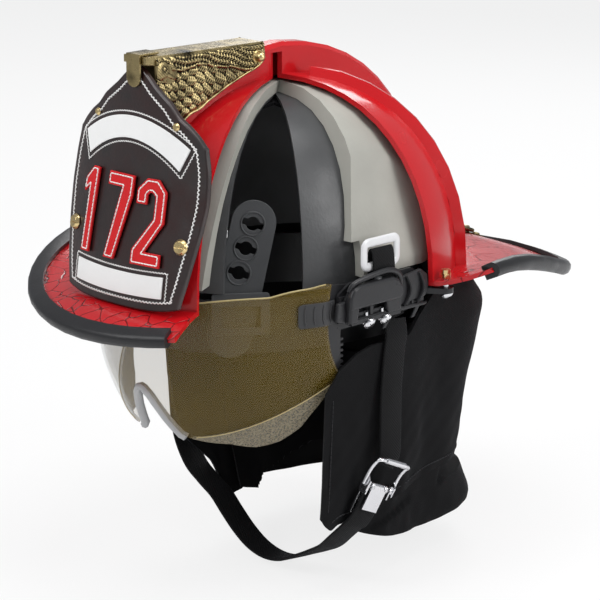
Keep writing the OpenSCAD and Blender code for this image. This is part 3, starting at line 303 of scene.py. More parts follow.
def lens_coating():
    """Thin amber coating on a clear lens, frosted and speckled below its ridge."""
    n = Nodes("lens_amber_clear")
    _, y, z = n.axes()
    turn = n.math("ARCTAN2", n.math("SUBTRACT", z, PIVOT[1] * MM),
                  n.math("SUBTRACT", PIVOT[0] * MM, y))
    frosted = n.span(turn, math.radians(-35.0), math.radians(-34.4), 1.0, 0.0)
    speckle = n.span(n.noise(900.0, 2.0), 0.42, 0.62)
    frost = n.mix(speckle, (0.2, 0.17, 0.11), (0.36, 0.31, 0.21))
    grain = n.times(n.noise(700.0, 2.0), frosted)
    n.set(Base_Color=n.mix(frosted, (0.3, 0.2, 0.035), frost),
          Roughness=n.span(frosted, 0.0, 1.0, 0.12, 0.5), Coat_Weight=0.35,
          Coat_Roughness=0.03, Specular_IOR_Level=0.5, Normal=n.bump(grain, 0.0001))
    glass = n.mix(n.noise(8.0), (0.93, 0.94, 0.95), (0.97, 0.97, 0.97))
    clear = n.add("ShaderNodeBsdfTransparent", {"Color": glass})
    share = n.span(frosted, 0.0, 1.0, 0.19, 0.62)
    n.show(share, clear.outputs[0], n.shader.outputs[0])
    return n.mat


M = {
    "shell": shell_paint(),
    "trim": plastic("trim_rubber_black", (0.018, 0.018, 0.02), 0.42, 700.0, 0.0001),
    "foam": foam_beads(),
    "cap": plastic("cap_moulded_grey", (0.07, 0.071, 0.073), 0.36, 500.0, 8e-5),
    "black": plastic("moulded_black", (0.016, 0.016, 0.017), 0.38, 800.0, 6e-5),
    "bracket": plastic("bracket_moulded_black", (0.022, 0.022, 0.024), 0.33, 900.0, 5e-5),
    "grey": plastic("tab_moulded_grey", (0.06, 0.062, 0.065), 0.40, 700.0, 7e-5),
    "grip": plastic("grip_moulded_grey", (0.045, 0.045, 0.047), 0.42),
    "rubber": plastic("guard_rubber_grey", (0.46, 0.46, 0.465), 0.45, 600.0, 6e-5, 0.1),
    # edge: pale gold colour on the lens's ridge and top edge, a painted highlight line along them
    "edge": plastic("lens_edge_painted_highlight", (0.5, 0.41, 0.2), 0.25, 300.0, 2e-5, 0.1, coat=0.6),
    "white": plastic("ring_white_gloss", (0.72, 0.72, 0.73), 0.16, 400.0, 2e-5, 0.05, coat=0.5),
    "leather": leather("shield_leather_dark", (0.024, 0.0066, 0.0058), 0.34, 0.75, 700.0,
                       0.00014, 0.5, 9.0),
    "panel": leather("panel_leather_white", (0.86, 0.86, 0.85), 0.45, 0.04, 520.0, 6e-5),
    "red": leather("number_leather_red", (0.62, 0.01, 0.013), 0.42, 0.12, 520.0, 8e-5),
    "thread": woven("thread_white", (0.92, 0.91, 0.89), 0.0009, 5e-5, 0.1, 0.7, 0.85),
    "dark_thread": woven("thread_black", (0.03, 0.03, 0.032), 0.0009, 0.0001, 0.3, 0.7),
    "brass": metal("brass_bright", (0.72, 0.55, 0.27), 0.26),
    "aged": metal("brass_aged", (0.36, 0.285, 0.14), 0.27, (0.008, 0.007, 0.005), 6e-5),
    "steel": metal("steel_bright", (0.72, 0.72, 0.74), 0.20),
    "cloth": woven("curtain_cloth_black", (0.0062, 0.0062, 0.0068), 0.0011, 9e-5, 0.07),
    "webbing": woven("webbing_black", (0.0085, 0.0085, 0.009), 0.0020, 0.00014, 0.08, 0.7),
    "pad": woven("pad_cloth_black", (0.016, 0.016, 0.017), 0.0013, 0.0002, 0.3),
    "lens": lens_coating(),
}


# Meshes


def linked(name, data):
    """New object in the scene."""
    obj = bpy.data.objects.new(name, data)
    bpy.context.scene.collection.objects.link(obj)
    return obj


def piece(name, shape, mat, slot=None, smooth=60.0, body="helmet", replaces=None):
    """New piece from a shape's points and faces, riding on a body.

    smooth is the angle kept smooth, and replaces the CAD node it stands for.
    """
    verts, faces = shape
    mesh = bpy.data.meshes.new(name)
    mesh.from_pydata([tuple(float(c) * MM for c in v) for v in verts], [],
                     [tuple(int(i) for i in face) for face in faces])
    mesh.materials.append(M[mat])
    obj = linked(name, mesh)
    smooth_by_angle(mesh, smooth)
    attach(obj, body)
    if replaces:
        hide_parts(replaces)
    return obj


def smooth_by_angle(mesh, angle):
    bm = bmesh.new()
    bm.from_mesh(mesh)
    bmesh.ops.recalc_face_normals(bm, faces=bm.faces)
    for face in bm.faces:
        face.smooth = True
    for edge in bm.edges:
        edge.smooth = len(edge.link_faces) != 2 or edge.calc_face_angle(0.0) < math.radians(angle)
    bm.to_mesh(mesh)
    bm.free()


def modifier(obj, kind, **settings):
    mod = obj.modifiers.new(kind.lower(), kind)
    for key, value in settings.items():
        setattr(mod, key, value)
    return mod


def rounded(obj, width, segments, angle):
    """Bevel on the edges that are sharper than angle."""
    modifier(obj, "BEVEL", width=width * MM, segments=segments, limit_method="ANGLE",
             angle_limit=math.radians(angle))


def dressed(node, mat, angle=35.0, bevel=0.0, segments=2):
    """Cleaned, softly shaded copy of a CAD node that stands for it, its hard edges rounded where a
    bevel is given.
    """
    mesh = nodes[node].data.copy()
    if "custom_normal" in mesh.attributes:
        mesh.attributes.remove(mesh.attributes["custom_normal"])
    bm = bmesh.new()
    bm.from_mesh(mesh)
    bmesh.ops.remove_doubles(bm, verts=bm.verts, dist=2e-5)
    bmesh.ops.dissolve_limit(bm, angle_limit=math.radians(0.6), verts=bm.verts, edges=bm.edges)
    bm.to_mesh(mesh)
    bm.free()
    mesh.materials.clear()
    mesh.materials.append(M[mat])
    smooth_by_angle(mesh, angle)
    obj = linked(node + "_piece", mesh)
    if bevel:
        rounded(obj, bevel, segments, angle)
    modifier(obj, "WEIGHTED_NORMAL", keep_sharp=not bevel, weight=60)
    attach(obj, nodes[node]["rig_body"])
    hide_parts(node)
    return obj


def sheet_mesh(front, back):
    """Points and faces of a thin solid between two grids of points."""
    rows, columns = front.shape[:2]
    count = rows * columns
    verts = np.concatenate([front.reshape(-1, 3), back.reshape(-1, 3)])
    index = np.arange(count).reshape(rows, columns)
    quads = np.stack([index[:-1, :-1], index[:-1, 1:], index[1:, 1:], index[1:, :-1]], -1)
    quads = quads.reshape(-1, 4)
    faces = [*quads, *(quads[:, ::-1] + count)]
    rim = [*index[0], *index[1:, -1], *index[-1, -2::-1], *index[-2:0:-1, 0]]
    for a, b in zip(rim, rim[1:] + rim[:1]):
        faces.append((a, a + count, b + count, b))
    return verts, faces


def headings(path, closed, step=1):
    """Unit direction of a path at each of its points."""
    ways = np.gradient(path, axis=0)
    if closed:
        ways = np.roll(path, -step, 0) - np.roll(path, step, 0)
    return ways / np.linalg.norm(ways, axis=1)[:, None]


def sweep(path, section, closed=False, up=None):
    """Points and faces of a section (pairs across and up) carried along a path of points."""
    path = np.asarray(path, float)
    count = len(path)
    loops = []
    normal = None
    for k, way in enumerate(headings(path, closed)):
        if up is not None:
            side = np.asarray(up[k] if np.ndim(up) > 1 else up, float)
            side = side - way * (side @ way)
        elif normal is None:
            side = np.cross(way, [0, 0, 1] if abs(way[2]) < 0.9 else [1, 0, 0])
        else:
            side = normal - way * (normal @ way)
        normal = side / np.linalg.norm(side)
        other = np.cross(way, normal)
        loops.append([path[k] + p * normal + q * other for p, q in section])
    m = len(section)
    faces = []
    for k in range(count if closed else count - 1):
        for j in range(m):
            a, b = k * m + j, k * m + (j + 1) % m
            c, d = (k + 1) % count * m + (j + 1) % m, (k + 1) % count * m + j
            faces.append((a, b, c, d))
    if not closed:
        faces.append(tuple(range(m - 1, -1, -1)))
        faces.append(tuple((count - 1) * m + j for j in range(m)))
    return np.concatenate(loops), faces


def prism(front, back):
    """Points and faces of the solid between two like outlines."""
    n = len(front)
    faces = [tuple(range(n)), tuple(range(2 * n - 1, n - 1, -1))]
    faces += [(k, (k + 1) % n, n + (k + 1) % n, n + k) for k in range(n)]
    return [tuple(v) for v in (*front, *back)], faces


def oval(p, q, sides=12):
    """Oval section with half widths p and q."""
    return [(p * cosd(360 * k / sides), q * sind(360 * k / sides)) for k in range(sides)]


def wire(path, r, sides=5, closed=False):
    """Points and faces of a round wire."""
    return sweep(path, oval(r, r, sides), closed)


def joined(parts):
    """One list of points and faces out of several."""
    verts, faces, start = [], [], 0
    for v, f in parts:
        verts.append(np.asarray(v, float))
        faces += [tuple(i + start for i in face) for face in f]
        start += len(v)
    return np.concatenate(verts), faces


def tube(name, path, r, mat, sides=8, **more):
    piece(name, wire(path, r, sides), mat, **more)


def refined(points, steps):
    """Smooth curve through points, with steps points from each to the next."""
    p = np.asarray(points, float)
    p = np.concatenate([[2 * p[0] - p[1]], p, [2 * p[-1] - p[-2]]])
    out = []
    for k in range(1, len(p) - 2):
        a, b, c, d = p[k - 1:k + 3]
        for s in np.arange(steps) / steps:
            out.append(0.5 * (2 * b + (c - a) * s + (2 * a - 5 * b + 4 * c - d) * s * s
                              + (3 * b - a - 3 * c + d) * s ** 3))
    out.append(p[-2])
    return np.array(out)


def evenly(path, pitch, closed=False):
    """Points along a path at an even distance near pitch."""
    path = np.asarray(path, float)
    if closed:
        path = np.concatenate([path, path[:1]])
    length = np.concatenate([[0], np.cumsum(np.linalg.norm(np.diff(path, axis=0), axis=1))])
    count = max(2, int(round(length[-1] / pitch)))
    at = np.linspace(0, length[-1], count + 1)
    out = np.stack([np.interp(at, length, path[:, k]) for k in range(path.shape[1])], 1)
    return out[:-1] if closed else out


# Solids that keep their CAD shape: material, angle kept smooth, bevel and its segments

DRESSED = {
    "outer_shell": ("shell", 32.0),
    "edge_trim": ("trim", 50.0),
    "impact_liner": ("foam", 28.0),
    "inner_cap": ("cap", 35.0),
    "crown_straps": ("webbing", 40.0),
    "headband": ("black", 40.0, 0.3),
    "key_tab_left key_tab_right tab_buckles": ("grey", 35.0, 0.4),
    "ratchet_housing ratchet_cover ratchet_knob curtain_band": ("black", 40.0, 0.3),
    "rack_left rack_right": ("grey", 40.0),
    "shield_screws eagle_screw bracket_nuts": ("brass", 40.0, 0.15),
    "shield_rivets": ("brass", 40.0, 0.1),
    "side_bracket_left side_bracket_right bracket_cover_left bracket_cover_right":
        ("bracket", 30.0, 0.5, 3),
    "visor_arm_left visor_arm_right": ("bracket", 30.0, 0.3),
    "bracket_screws pivot_pin_left pivot_pin_right buckle_plate buckle_lever":
        ("steel", 40.0, 0.2),
    "hanger_bracket hanger_ring hanger_rivets eagle_clip": ("aged", 40.0, 0.25),
    "nose_guard": ("rubber", 60.0),
}
for names, how in DRESSED.items():
    for node in names.split():
        dressed(node, *how)


# Bracket mouldings: housing with its window, handle loop, curved fins and struts

def slab(name, side, outline_yz, x0, x1, bevel):
    """Upright moulding: an outline (y, z) from x0 out to x1, its edges rounded."""
    ends = [[(side * x, y, z) for y, z in outline_yz] for x in (x0, x1)]
    obj = piece(name, prism(*ends), "bracket", "bracket_black", 30.0)
    rounded(obj, bevel, 4, 30.0)
    modifier(obj, "WEIGHTED_NORMAL", weight=60)


# Outline, inner and outer x, and bevel of each
HOUSING = {
    "top": ([(-38, -3), (7, -3), (9, 0), (9, 5), (5, 10), (0, 12), (-29, 12), (-35, 10), (-38, 5)],
            99.4, 105.4, 2.6),
    "sill": ([(-38, -12.6), (33, -12.6), (35, -10.6), (10, -9.4), (-38, -9.4)], 99.4, 102.0, 1.2),
    "front_post": ([(-38, -12), (-31, -12), (-29, 0), (-38, 0)], 99.4, 104.6, 1.8),
    "rear_post": ([(-3, -11), (9, -11), (9, 0), (-5, 0)], 99.4, 103.4, 1.1),
    "middle_post": ([(-17, -11), (-14, -11), (-14, 0), (-17, 0)], 99.4, 101.2, 0.5),
    "nose": ([(-46, -9.5), (-37, -12), (-37, 2.5), (-44.5, 2)], 97.7, 100.6, 0.9),
    "rear_panel": ([(6, -9.4), (33, -7), (36, -3), (35, 7), (29, 11.5), (8, 9)], 99.0, 101.3, 1.0),
    "front_strut": ([(1, -12), (5, -12), (-3, -21), (-6, -21)], 99.6, 101.2, 0.5),
    "rear_strut": ([(26, -10), (30, -10), (23, -19), (20, -19)], 99.6, 101.2, 0.5),
}
FIN_YS = (14.5, 26.5)
# On the right the closed side of the shell leaves less room
RIGHT_ROOM, RIGHT_SHIFT = 101.6, 2.6
LOOP = [(101, -36, 8), (101.8, -33, 12.4), (102.6, -21, 15.2), (102.8, -5, 16.6), (102.4, 4, 14.6),
        (101.6, 9.5, 10), (100.4, 12, 3)]
PANS_AT, PAN_TILT, SLOT_HALF, SLOT_HIGH = [(102.6, y, -14.6) for y in (-19, -4.5)], 52.0, 2.3, 1.8
CAP_AT, CAP_TILT = (99.4, -10, 11.2), 150.0
BRIM_PAN_AT, BRIM_PAN_TILT = (108.4, 45.5, -7.4), 35.0
# Radius and height of screw heads
PAN_HEAD = [(1.2, -3.0), (3.9, -1.0), (4.2, -0.4), (4.1, 0.4), (3.4, 1.2), (2.2, 1.7), (0.8, 1.9)]
CAP_HEAD = [(3.0, 0.0), (3.3, 1.2), (3.0, 2.4), (1.8, 3.3), (0.5, 3.5)]


def leaning(side, tilt):
    """Axis that leans outwards from straight down, and two directions square to it."""
    axis = np.array([side * sind(tilt), 0, -cosd(tilt)])
    flat = np.array([0, 1, 0.0])
    return axis, flat, np.cross(axis, flat)


def turned(profile, at, tilt, side, steps=20):
    """Body of revolution: profile of (radius, height) along a leaning axis from at."""
    axis, flat, third = leaning(side, tilt)
    rings = [np.array(at) * (side, 1, 1) + axis * h + r * (flat * cosd(a) + third * sind(a))
             for r, h in profile for a in np.arange(0, 360, 360 / steps)]
    faces = []
    for low in range(0, steps * (len(profile) - 1), steps):
        for k in range(steps):
            after = low + (k + 1) % steps
            faces.append((low + k, after, after + steps, low + k + steps))
    faces += [tuple(range(steps - 1, -1, -1)), tuple(range(len(rings) - steps, len(rings)))]
    return [tuple(v) for v in rings], faces


def cross_slot(at, tilt, side, half, high, r=0.3):
    """Two dark bars let into a screw's head, high above at."""
    axis, flat, third = leaning(side, tilt)
    at = np.array(at) * (side, 1, 1) + axis * high
    parts = []
    for way in (flat + third, flat - third):
        way = way / np.linalg.norm(way)
        line = [at + way * h * half + axis * (0.25 * (1 - h * h)) for h in np.linspace(-1, 1, 7)]
        parts.append(wire(line, r, 6))
    return joined(parts)


down = np.linspace(0, 1, 11)
for side, name in SIDES:
    for part, (shape, x0, x1, bevel) in HOUSING.items():
        outer = x1 if side > 0 else min(x1, RIGHT_ROOM)
        slab(f"bracket_{part}_{name}", side, shape, x0, outer, min(bevel, 0.45 * (outer - x0)))
    for k, fin_y in enumerate(FIN_YS):
        fin = np.stack([side * (100.8 + 1.7 * np.sin(math.pi * (0.12 + 0.8 * down))),
                        fin_y + 3.6 * np.sin(math.pi * down) - 1.6 * down, 9.4 - 18.6 * down], 1)
        piece(f"bracket_fin_{k}_{name}", sweep(fin, oval(1.7, 0.75), up=(side, 0, 0)),
              "bracket", "bracket_black")
    loop = (refined(LOOP, 6) - (0 if side > 0 else RIGHT_SHIFT, 0, 0)) * (side, 1, 1)
    piece("bracket_loop_" + name, sweep(loop, oval(1.3, 1.9), up=(side, 0, 0)),
          "bracket", "bracket_black")
    piece("bracket_pan_heads_" + name,
          joined([turned(PAN_HEAD, at, PAN_TILT, side) for at in PANS_AT]),
          "steel", "steel_bright", 35.0)
    slots = [cross_slot(at, PAN_TILT, side, SLOT_HALF, SLOT_HIGH) for at in PANS_AT]
    piece("bracket_pan_slots_" + name, joined(slots), "black", "steel_bright")
    piece("bracket_cap_" + name, turned(CAP_HEAD, CAP_AT, CAP_TILT, side),
          "grey", "bracket_black", 35.0)
    piece("brim_pan_head_" + name, turned(PAN_HEAD, BRIM_PAN_AT, BRIM_PAN_TILT, side),
          "steel", "steel_bright", 35.0)


# Raised rims round the tabs' key holes

def tab_point(x, y, out, side):
    """Point on the tab's face: x along the band, y up the tab."""
    reach = 1 / math.hypot(cosd(TAB_A) / BAND_W, sind(TAB_A) / BAND_F)
    at = (reach * cosd(TAB_A), BAND_Y + reach * sind(TAB_A))
    yaw = math.atan2((at[1] - BAND_Y) / BAND_F ** 2, at[0] / BAND_W ** 2)
    place = (Matrix.Translation((at[0], at[1], 0))
             @ Matrix.Rotation(yaw + math.pi / 2, 4, "Z")
             @ Matrix.Rotation(-math.radians(TAB_LEAN), 4, "X")
             @ Matrix.Rotation(math.pi / 2, 4, "X"))
    point = place @ Vector((x, y, TAB_FACE + out))
    return (side * point[0], point[1], point[2])


for side, name in SIDES:
    parts = []
    for k in range(3):
        circle = [tab_point(KEY_AT[0] - KEY_PITCH[0] * k + KEY_R * cosd(a),
                            KEY_AT[1] - KEY_PITCH[1] * k + KEY_R * sind(a), 0.1, side)
                  for a in range(0, 360, 12)]
        parts.append(wire(circle, 0.6, 8, True))
    piece("key_rims_" + name, joined(parts), "grey", "tab_grey")


# Rounded wire rings, in place of the flat ones

WIRE_IN, WIRE_TURN = 2.4, 3.0
corner_y, corner_z = (size / 2 - WIRE_IN - WIRE_TURN for size in (RING_W, RING_H))
for side, name in SIDES:
    line = []
    for quarter, (sy, sz) in enumerate(((1, 1), (-1, 1), (-1, -1), (1, -1))):
        for a in np.linspace(0, 90, 7) + 90 * quarter:
            line.append((side * RING_MID[0],
                         RING_MID[1] + sy * corner_y + WIRE_TURN * cosd(a),
                         RING_MID[2] + sz * corner_z + WIRE_TURN * sind(a)))
    shape = sweep(evenly(line, 1.2, True), oval(1.3, 2.9), True, up=(side, 0, 0))
    piece("strap_ring_wire_" + name, shape, "white", "ring_white",
          replaces="strap_ring_" + name)


# Pads: crowned, soft-edged forms

CLOTH = {"quality": 5, "mass": 0.15, "tension_stiffness": 25, "compression_stiffness": 10,
         "bending_stiffness": 0.4, "use_pressure": True, "uniform_pressure_force": 3.0}
CLOTH_FRAMES = 20


def settle(obj):
    """The object's mesh becomes what its modifiers make of it."""
    graph = bpy.context.evaluated_depsgraph_get()
    mesh = bpy.data.meshes.new_from_object(obj.evaluated_get(graph), depsgraph=graph)
    obj.modifiers.clear()
    obj.data = mesh


def inflate(obj, reach):
    """Cloth under light pressure from inside, no point moving further than reach."""
    rest = np.array([v.co[:] for v in obj.data.vertices])
    cloth = modifier(obj, "CLOTH")
    for key, value in CLOTH.items():
        setattr(cloth.settings, key, value)
    cloth.settings.effector_weights.gravity = 0
    cloth.point_cache.frame_start, cloth.point_cache.frame_end = 1, CLOTH_FRAMES
    for step in range(1, CLOTH_FRAMES + 1):
        bpy.context.scene.frame_set(step)
    settle(obj)
    bpy.context.scene.frame_set(1)
    moved = np.array([v.co[:] for v in obj.data.vertices]) - rest
    length = np.linalg.norm(moved, axis=1, keepdims=True)
    moved *= np.minimum(1, reach * MM / np.maximum(length, 1e-9))
    for vertex, co in zip(obj.data.vertices, rest + moved):
        vertex.co = co


def pad(node):
    """Soft pad in a CAD node's place."""
    obj = dressed(node, "pad", 180.0)
    obj.modifiers.clear()
    modifier(obj, "REMESH", mode="VOXEL", voxel_size=0.0024)
    modifier(obj, "SMOOTH", factor=0.6, iterations=5)
    settle(obj)
    inflate(obj, 0.9)
    for polygon in obj.data.polygons:
        polygon.use_smooth = True
    modifier(obj, "SUBSURF", levels=1, render_levels=1)


pad("brow_pad")
pad("nape_pad")


# Front shield: the leather, its panels, number and stitching

def badge_back(z):
    """How far the leather has leant back at height z."""
    return 0.1 * z + ease(0, 7.5, z / 110)


def badge_pt(x, z, d):
    """Point on the leather, d out from its back."""
    x, z = np.asarray(x, float), np.asarray(z, float)
    return stacked(x, -BADGE_FRONT + badge_back(z) + BADGE_BEND * x * x - d, z)


# Half width up the side and height along the top, as shares
BADGE_SIDE = [[0, 0.815], [0.15, 0.875], [0.45, 0.965], [0.65, 1], [0.85, 0.98], [1, 0.92]]
BADGE_TOP = [[0, 1], [0.1, 0.985], [0.2, 0.955], [0.3, 0.92], [0.52, 0.86], [0.64, 0.81],
             [0.78, 0.775], [0.9, 0.735], [1, 0.69]]


def badge_xz(u, v):
    """Place on the leather at shares u across and v up."""
    low = 1.1 + 3.5 * np.abs(u) ** 4
    high = 1.1 + BADGE_H * lookup(np.abs(u), BADGE_TOP, 0.02)
    return u * BADGE_HALF_W * lookup(v, BADGE_SIDE, 0.05), low + v * (high - low)


def badge_frame(x, z, d, span):
    """Matrix of a frame on the leather: x across, y up the leather, z out of it."""
    lean = (badge_back(z + span) - badge_back(z)) / span
    return (Matrix.Translation(Vector(badge_pt(x, z, 0.0)))
            @ Matrix.Rotation(math.atan(2 * BADGE_BEND * x), 4, "Z")
            @ Matrix.Rotation(math.radians(90) - math.atan(lean), 4, "X")
            @ Matrix.Translation((0, 0, d)))


across, up = badge_xz(*np.meshgrid(np.linspace(-1, 1, 81), np.linspace(0, 1, 61)))
shape = sheet_mesh(badge_pt(across, up, BADGE_T), badge_pt(across, up, 0.0))
shield = piece("shield_leather", shape, "leather", "shield_leather", 50.0,
               replaces="front_shield")
rounded(shield, 0.9, 3, 50.0)


def beside(line, closed=True, step=1):
    """Unit direction to the left of a flat line at each of its points."""
    ways = headings(line, closed, step)
    return np.stack([-ways[:, 1], ways[:, 0]], 1)


def outline(inset):
    """Closed line of (x, z) round the shield, moved in from its edge."""
    t = np.linspace(0, 1, 80, endpoint=False)
    sides = [(2 * t - 1, 0 * t), (0 * t + 1, t), (1 - 2 * t, 0 * t + 1), (0 * t - 1, 1 - t)]
    u, v = (np.concatenate([s[k] for s in sides]) for k in (0, 1))
    line = evenly(np.stack(badge_xz(u, v), 1), 1.0, True)
    return line + inset * beside(line, step=3)


def zigzag(line, half, pitch, closed=True):
    """Points to both sides of a line by turns."""
    line = evenly(line, pitch / 2, closed)
    if len(line) % 2:
        line = line[:-1]
    sign = np.where(np.arange(len(line)) % 2, 1, -1)[:, None]
    return line + half * sign * beside(line, closed)


def stitches(points, r, closed=True):
    """Short threads from point to point on the leather, dipping in at both ends."""
    parts = []
    count = len(points)
    for k in range(count if closed else count - 1):
        a, b = points[k], points[(k + 1) % count]
        path = [badge_pt(*(a + (b - a) * s), BADGE_T + h)
                for s, h in ((0, -0.3), (0.2, 0.25), (0.8, 0.25), (1, -0.3))]
        parts.append(wire(path, r))
    return joined(parts)


piece("shield_stitching", stitches(zigzag(outline(5.4), 0.5, 2.6), 0.42),
      "thread", "panel_white")


def panel(name, half, low, tall, arch, flare, out=2.4):
    """White leather panel and the stitched line round it, which is open along a straight foot."""
    def place(x, v):
        return x * (1 + flare * (v - 0.5)), low + tall * v - arch * (x / half) ** 2

    xz = place(*np.meshgrid(np.linspace(-half, half, 61), np.linspace(0, 1, 9)))
    shape = sheet_mesh(badge_pt(*xz, BADGE_T + 1.1), badge_pt(*xz, BADGE_T + 0.1))
    obj = piece(name, shape, "panel", "panel_white", 50.0, replaces="shield_" + name)
    rounded(obj, 0.35, 2, 50.0)
    xs, end = np.linspace(-half - out, half + out, 40), out / tall
    foot = [place(x, -end) for x in xs]
    head = [place(x, 1 + end) for x in xs[::-1]]
    whole = arch > 0
    line = foot + head if whole else [foot[-1]] + head + [foot[0]]
    piece(name + "_stitches", stitches(zigzag(np.array(line), 0.35, 2.2, whole), 0.34, whole),
          "thread", "panel_white")


panel("upper_panel", 43.6, 102, 13.6, 15.2, 0.14)
panel("lower_panel", 38.6, 9.2, 13.2, -1, 0)

# Corners of the plain figures in their boxes, by the place of each
FIGURES = {
    -30: [(7, 0), (15.4, 0), (15.4, 53), (9, 53), (2, 45), (2, 36), (7, 40)],
    -3: [(0, 53), (0, 44.6), (12.6, 44.6), (3.2, 0), (12.5, 0), (23, 41), (23, 53)],
    24: [(0, 0), (23, 0), (23, 8.4), (10.4, 8.4), (23, 27), (23, 46), (16, 53), (7, 53), (0, 46),
         (0, 37), (8.4, 37), (8.4, 43), (10, 44.6), (12, 44.6), (14.6, 42.5), (14.6, 29), (0, 9)],
}


def inner_line(polygon, inset):
    """Polygon, given anticlockwise, moved in by inset at its corners."""
    p = np.array(polygon, float)
    ways = np.roll(p, -1, 0) - p
    after = np.stack([-ways[:, 1], ways[:, 0]], 1) / np.linalg.norm(ways, axis=1)[:, None]
    before = np.roll(after, 1, 0)
    return p + inset * (after + before) / np.maximum(0.5, 1 + (after * before).sum(1))[:, None]


dressed("shield_number", "red", 30.0, 0.45, 3)
NUMBER_LOW, NUMBER_T, THREAD_PITCH = 27.5, 1.6, 2.6
number_out = BADGE_T + 0.3 + BADGE_BEND * (FIG_W / 2) ** 2 + NUMBER_T
parts = []
for x, polygon in FIGURES.items():
    place = badge_frame(x, NUMBER_LOW, number_out, FIG_H)
    line = inner_line(polygon, 1.5)
    for k in range(len(line)):
        a, b = line[k], line[(k + 1) % len(line)]
        count = max(1, int(round(np.linalg.norm(b - a) / THREAD_PITCH)))
        for i in range(count):
            p, q = a + (b - a) * (i + 0.1) / count, a + (b - a) * (i + 0.9) / count
            path = [tuple(place @ Vector((*(p + (q - p) * s - (FIG_W / 2, 0)), h)))
                    for s, h in ((0, -0.15), (0.25, 0.2), (0.75, 0.2), (1, -0.15))]
            parts.append(wire(path, 0.42))
piece("number_stitches", joined(parts), "thread", "panel_white")


# Eagle: plain saddle with rows of feathers on both flanks

dressed("eagle_holder", "aged", 35.0, 0.8, 3)
FLANK = np.array([(-110.6, -5.6), (-118, -4.6), (-118, 0), (-21, -1.6), (-20, -4), (-20, -12.6),
                  (-26, -17), (-34, -19.5), (-44, -23), (-52, -26), (-61, -30), (-68, -33),
                  (-74, -36.5), (-83, -39), (-90, -43), (-97, -42), (-102, -36), (-108, -31),
                  (-110.6, -26)])
EAGLE_HALF = 10.05


def mound(y, z, at, half):
    """1 at a point, and 0 from an oval round it outwards."""
    return unit(1 - ((y - at[0]) / half[0]) ** 2 - ((z - at[1]) / half[1]) ** 2)


def vane(across, rise):
    """Rounded back of a feather, from edge to edge."""
    return rise + (1 - rise) * np.sqrt(unit(1 - across ** 2))


def flank_relief(y, z):
    """Height of the worked surface: flight feathers above, scallops below, a plain bird's head."""
    along = 0.966 * (y + 112) - 0.259 * z
    up = 0.259 * (y + 112) + 0.966 * z + 1.5 * np.sin(along / 9.5) + 0.8 * np.sin(along / 4.1 + 1.3)
    strip = up / 3.4
    across = 2 * np.mod(strip, 1) - 1
    length = np.mod(along / 37 + 0.31 * np.floor(strip), 1)
    flights = ((0.35 + 0.75 * length) * vane(across, 0.3)
               + 0.13 * np.sin(along * 2.6 + np.abs(across) * 3.2)
               + 0.3 * np.exp(-(across / 0.16) ** 2))
    row = 11 * np.log(1 + np.maximum(along, 0) / 42)
    spread = 5.4 + 0.035 * along
    cell = 2 * np.mod((up + 0.22 * along) / spread + 0.5 * np.mod(np.floor(row), 2), 1) - 1
    tip = np.mod(row, 1)
    scales = np.where(tip < vane(cell, 0.45), (0.25 + 0.85 * tip) * vane(cell, 0.25), 0.08)
    scales = (scales + 0.22 * np.exp(-(cell / 0.18) ** 2)
              + 0.07 * np.sin(along * 4.2 + np.abs(cell) * 4))
    above = up + 7 - 0.16 * along
    wing = unit(above * 1.4) * unit((along - 17) * 0.6)
    leaf = scales + (flights - scales) * wing + 0.55 * np.exp(-(above / 0.8) ** 2) * (along > 15)
    head = mound(y, z, (-105.2, -9.5), (6.6, 6.2))
    beak = mound(y, z + 0.45 * (y + 100), (-99.6, -13), (6.4, 2.3))
    near_eye = (y + 104.2) ** 2 + (z + 8.4) ** 2
    eye = np.exp(-near_eye / 1.2) - 0.9 * np.exp(-near_eye / 5)
    skull = 2.2 * np.sqrt(head) + eye + 0.12 * np.sin(y * 3.1) * np.sin(z * 3.4)
    face = np.maximum(np.where(head > 0, skull, 0), 1.9 * np.sqrt(beak))
    return np.where((head > 0) | (beak > 0), face, 1.7 * leaf)


flank_low = FLANK[np.argsort(FLANK[:, 0])]
flank_low = flank_low[flank_low[:, 1] <= -12.5]
ys = np.linspace(-110.3, -20.6, 190)
lows = np.interp(ys, *flank_low.T)
highs = -1.2 - 1.4 * (ys + 118) / 97
ey, ev = np.meshgrid(ys, np.linspace(0, 1, 76))
ez = lows + (highs - lows) * ev
relief = flank_relief(ey, ez) * unit((1 - ev) * 14) * unit(ev * 14)
for side, name in SIDES:
    shape = sheet_mesh(stacked(side * (EAGLE_HALF + relief), ey, EAGLE_TOP + ez),
                       stacked(side * (EAGLE_HALF - 0.5), ey, EAGLE_TOP + ez))
    piece("eagle_relief_" + name, shape, "aged", "aged_brass", 80.0)
    edge = [(side * 10.3, y, EAGLE_TOP + z - 0.2) for y, z in FLANK[3:]]
    tube("eagle_edge_" + name, refined(edge, 4), 0.8, "aged")


# Visor: clear lens with an amber coating, and its ridge and top edge, which carry a painted
# highlight in a pale bright colour. The tables pair x with an angle

LENS_LOW = [[0, -18.7], [4, -19.2], [8, -21], [12, -25], [15.5, -29.5], [19, -33.4], [24, -34.8],
            [46, -38.4], [57, -42.6], [68, -44.4], [78, -43.8], [88, -39.4], [92, -37], [94.6, -32]]
LENS_HIGH = [[0, 3.6], [42, 4.2], [77, 7.9], [90, 12.9], [94.6, 16.5]]


def lens_pt(x, a, d):
    """Point of the lens at x and at angle a about its pins, d out from its middle."""
    u = np.abs(x / (LENS_W + 0.7 * d))
    reach = LENS_R + LENS_GROW * unit((4 - a) / 24) + d
    k = reach * unit(1 - u ** 2.1) ** (1 / 2.1)
    return stacked(x, PIVOT[0] - k * cosd(a), PIVOT[1] + k * sind(a))


def lens_line(x, table):
    return lookup(np.abs(x), table, 1.0)


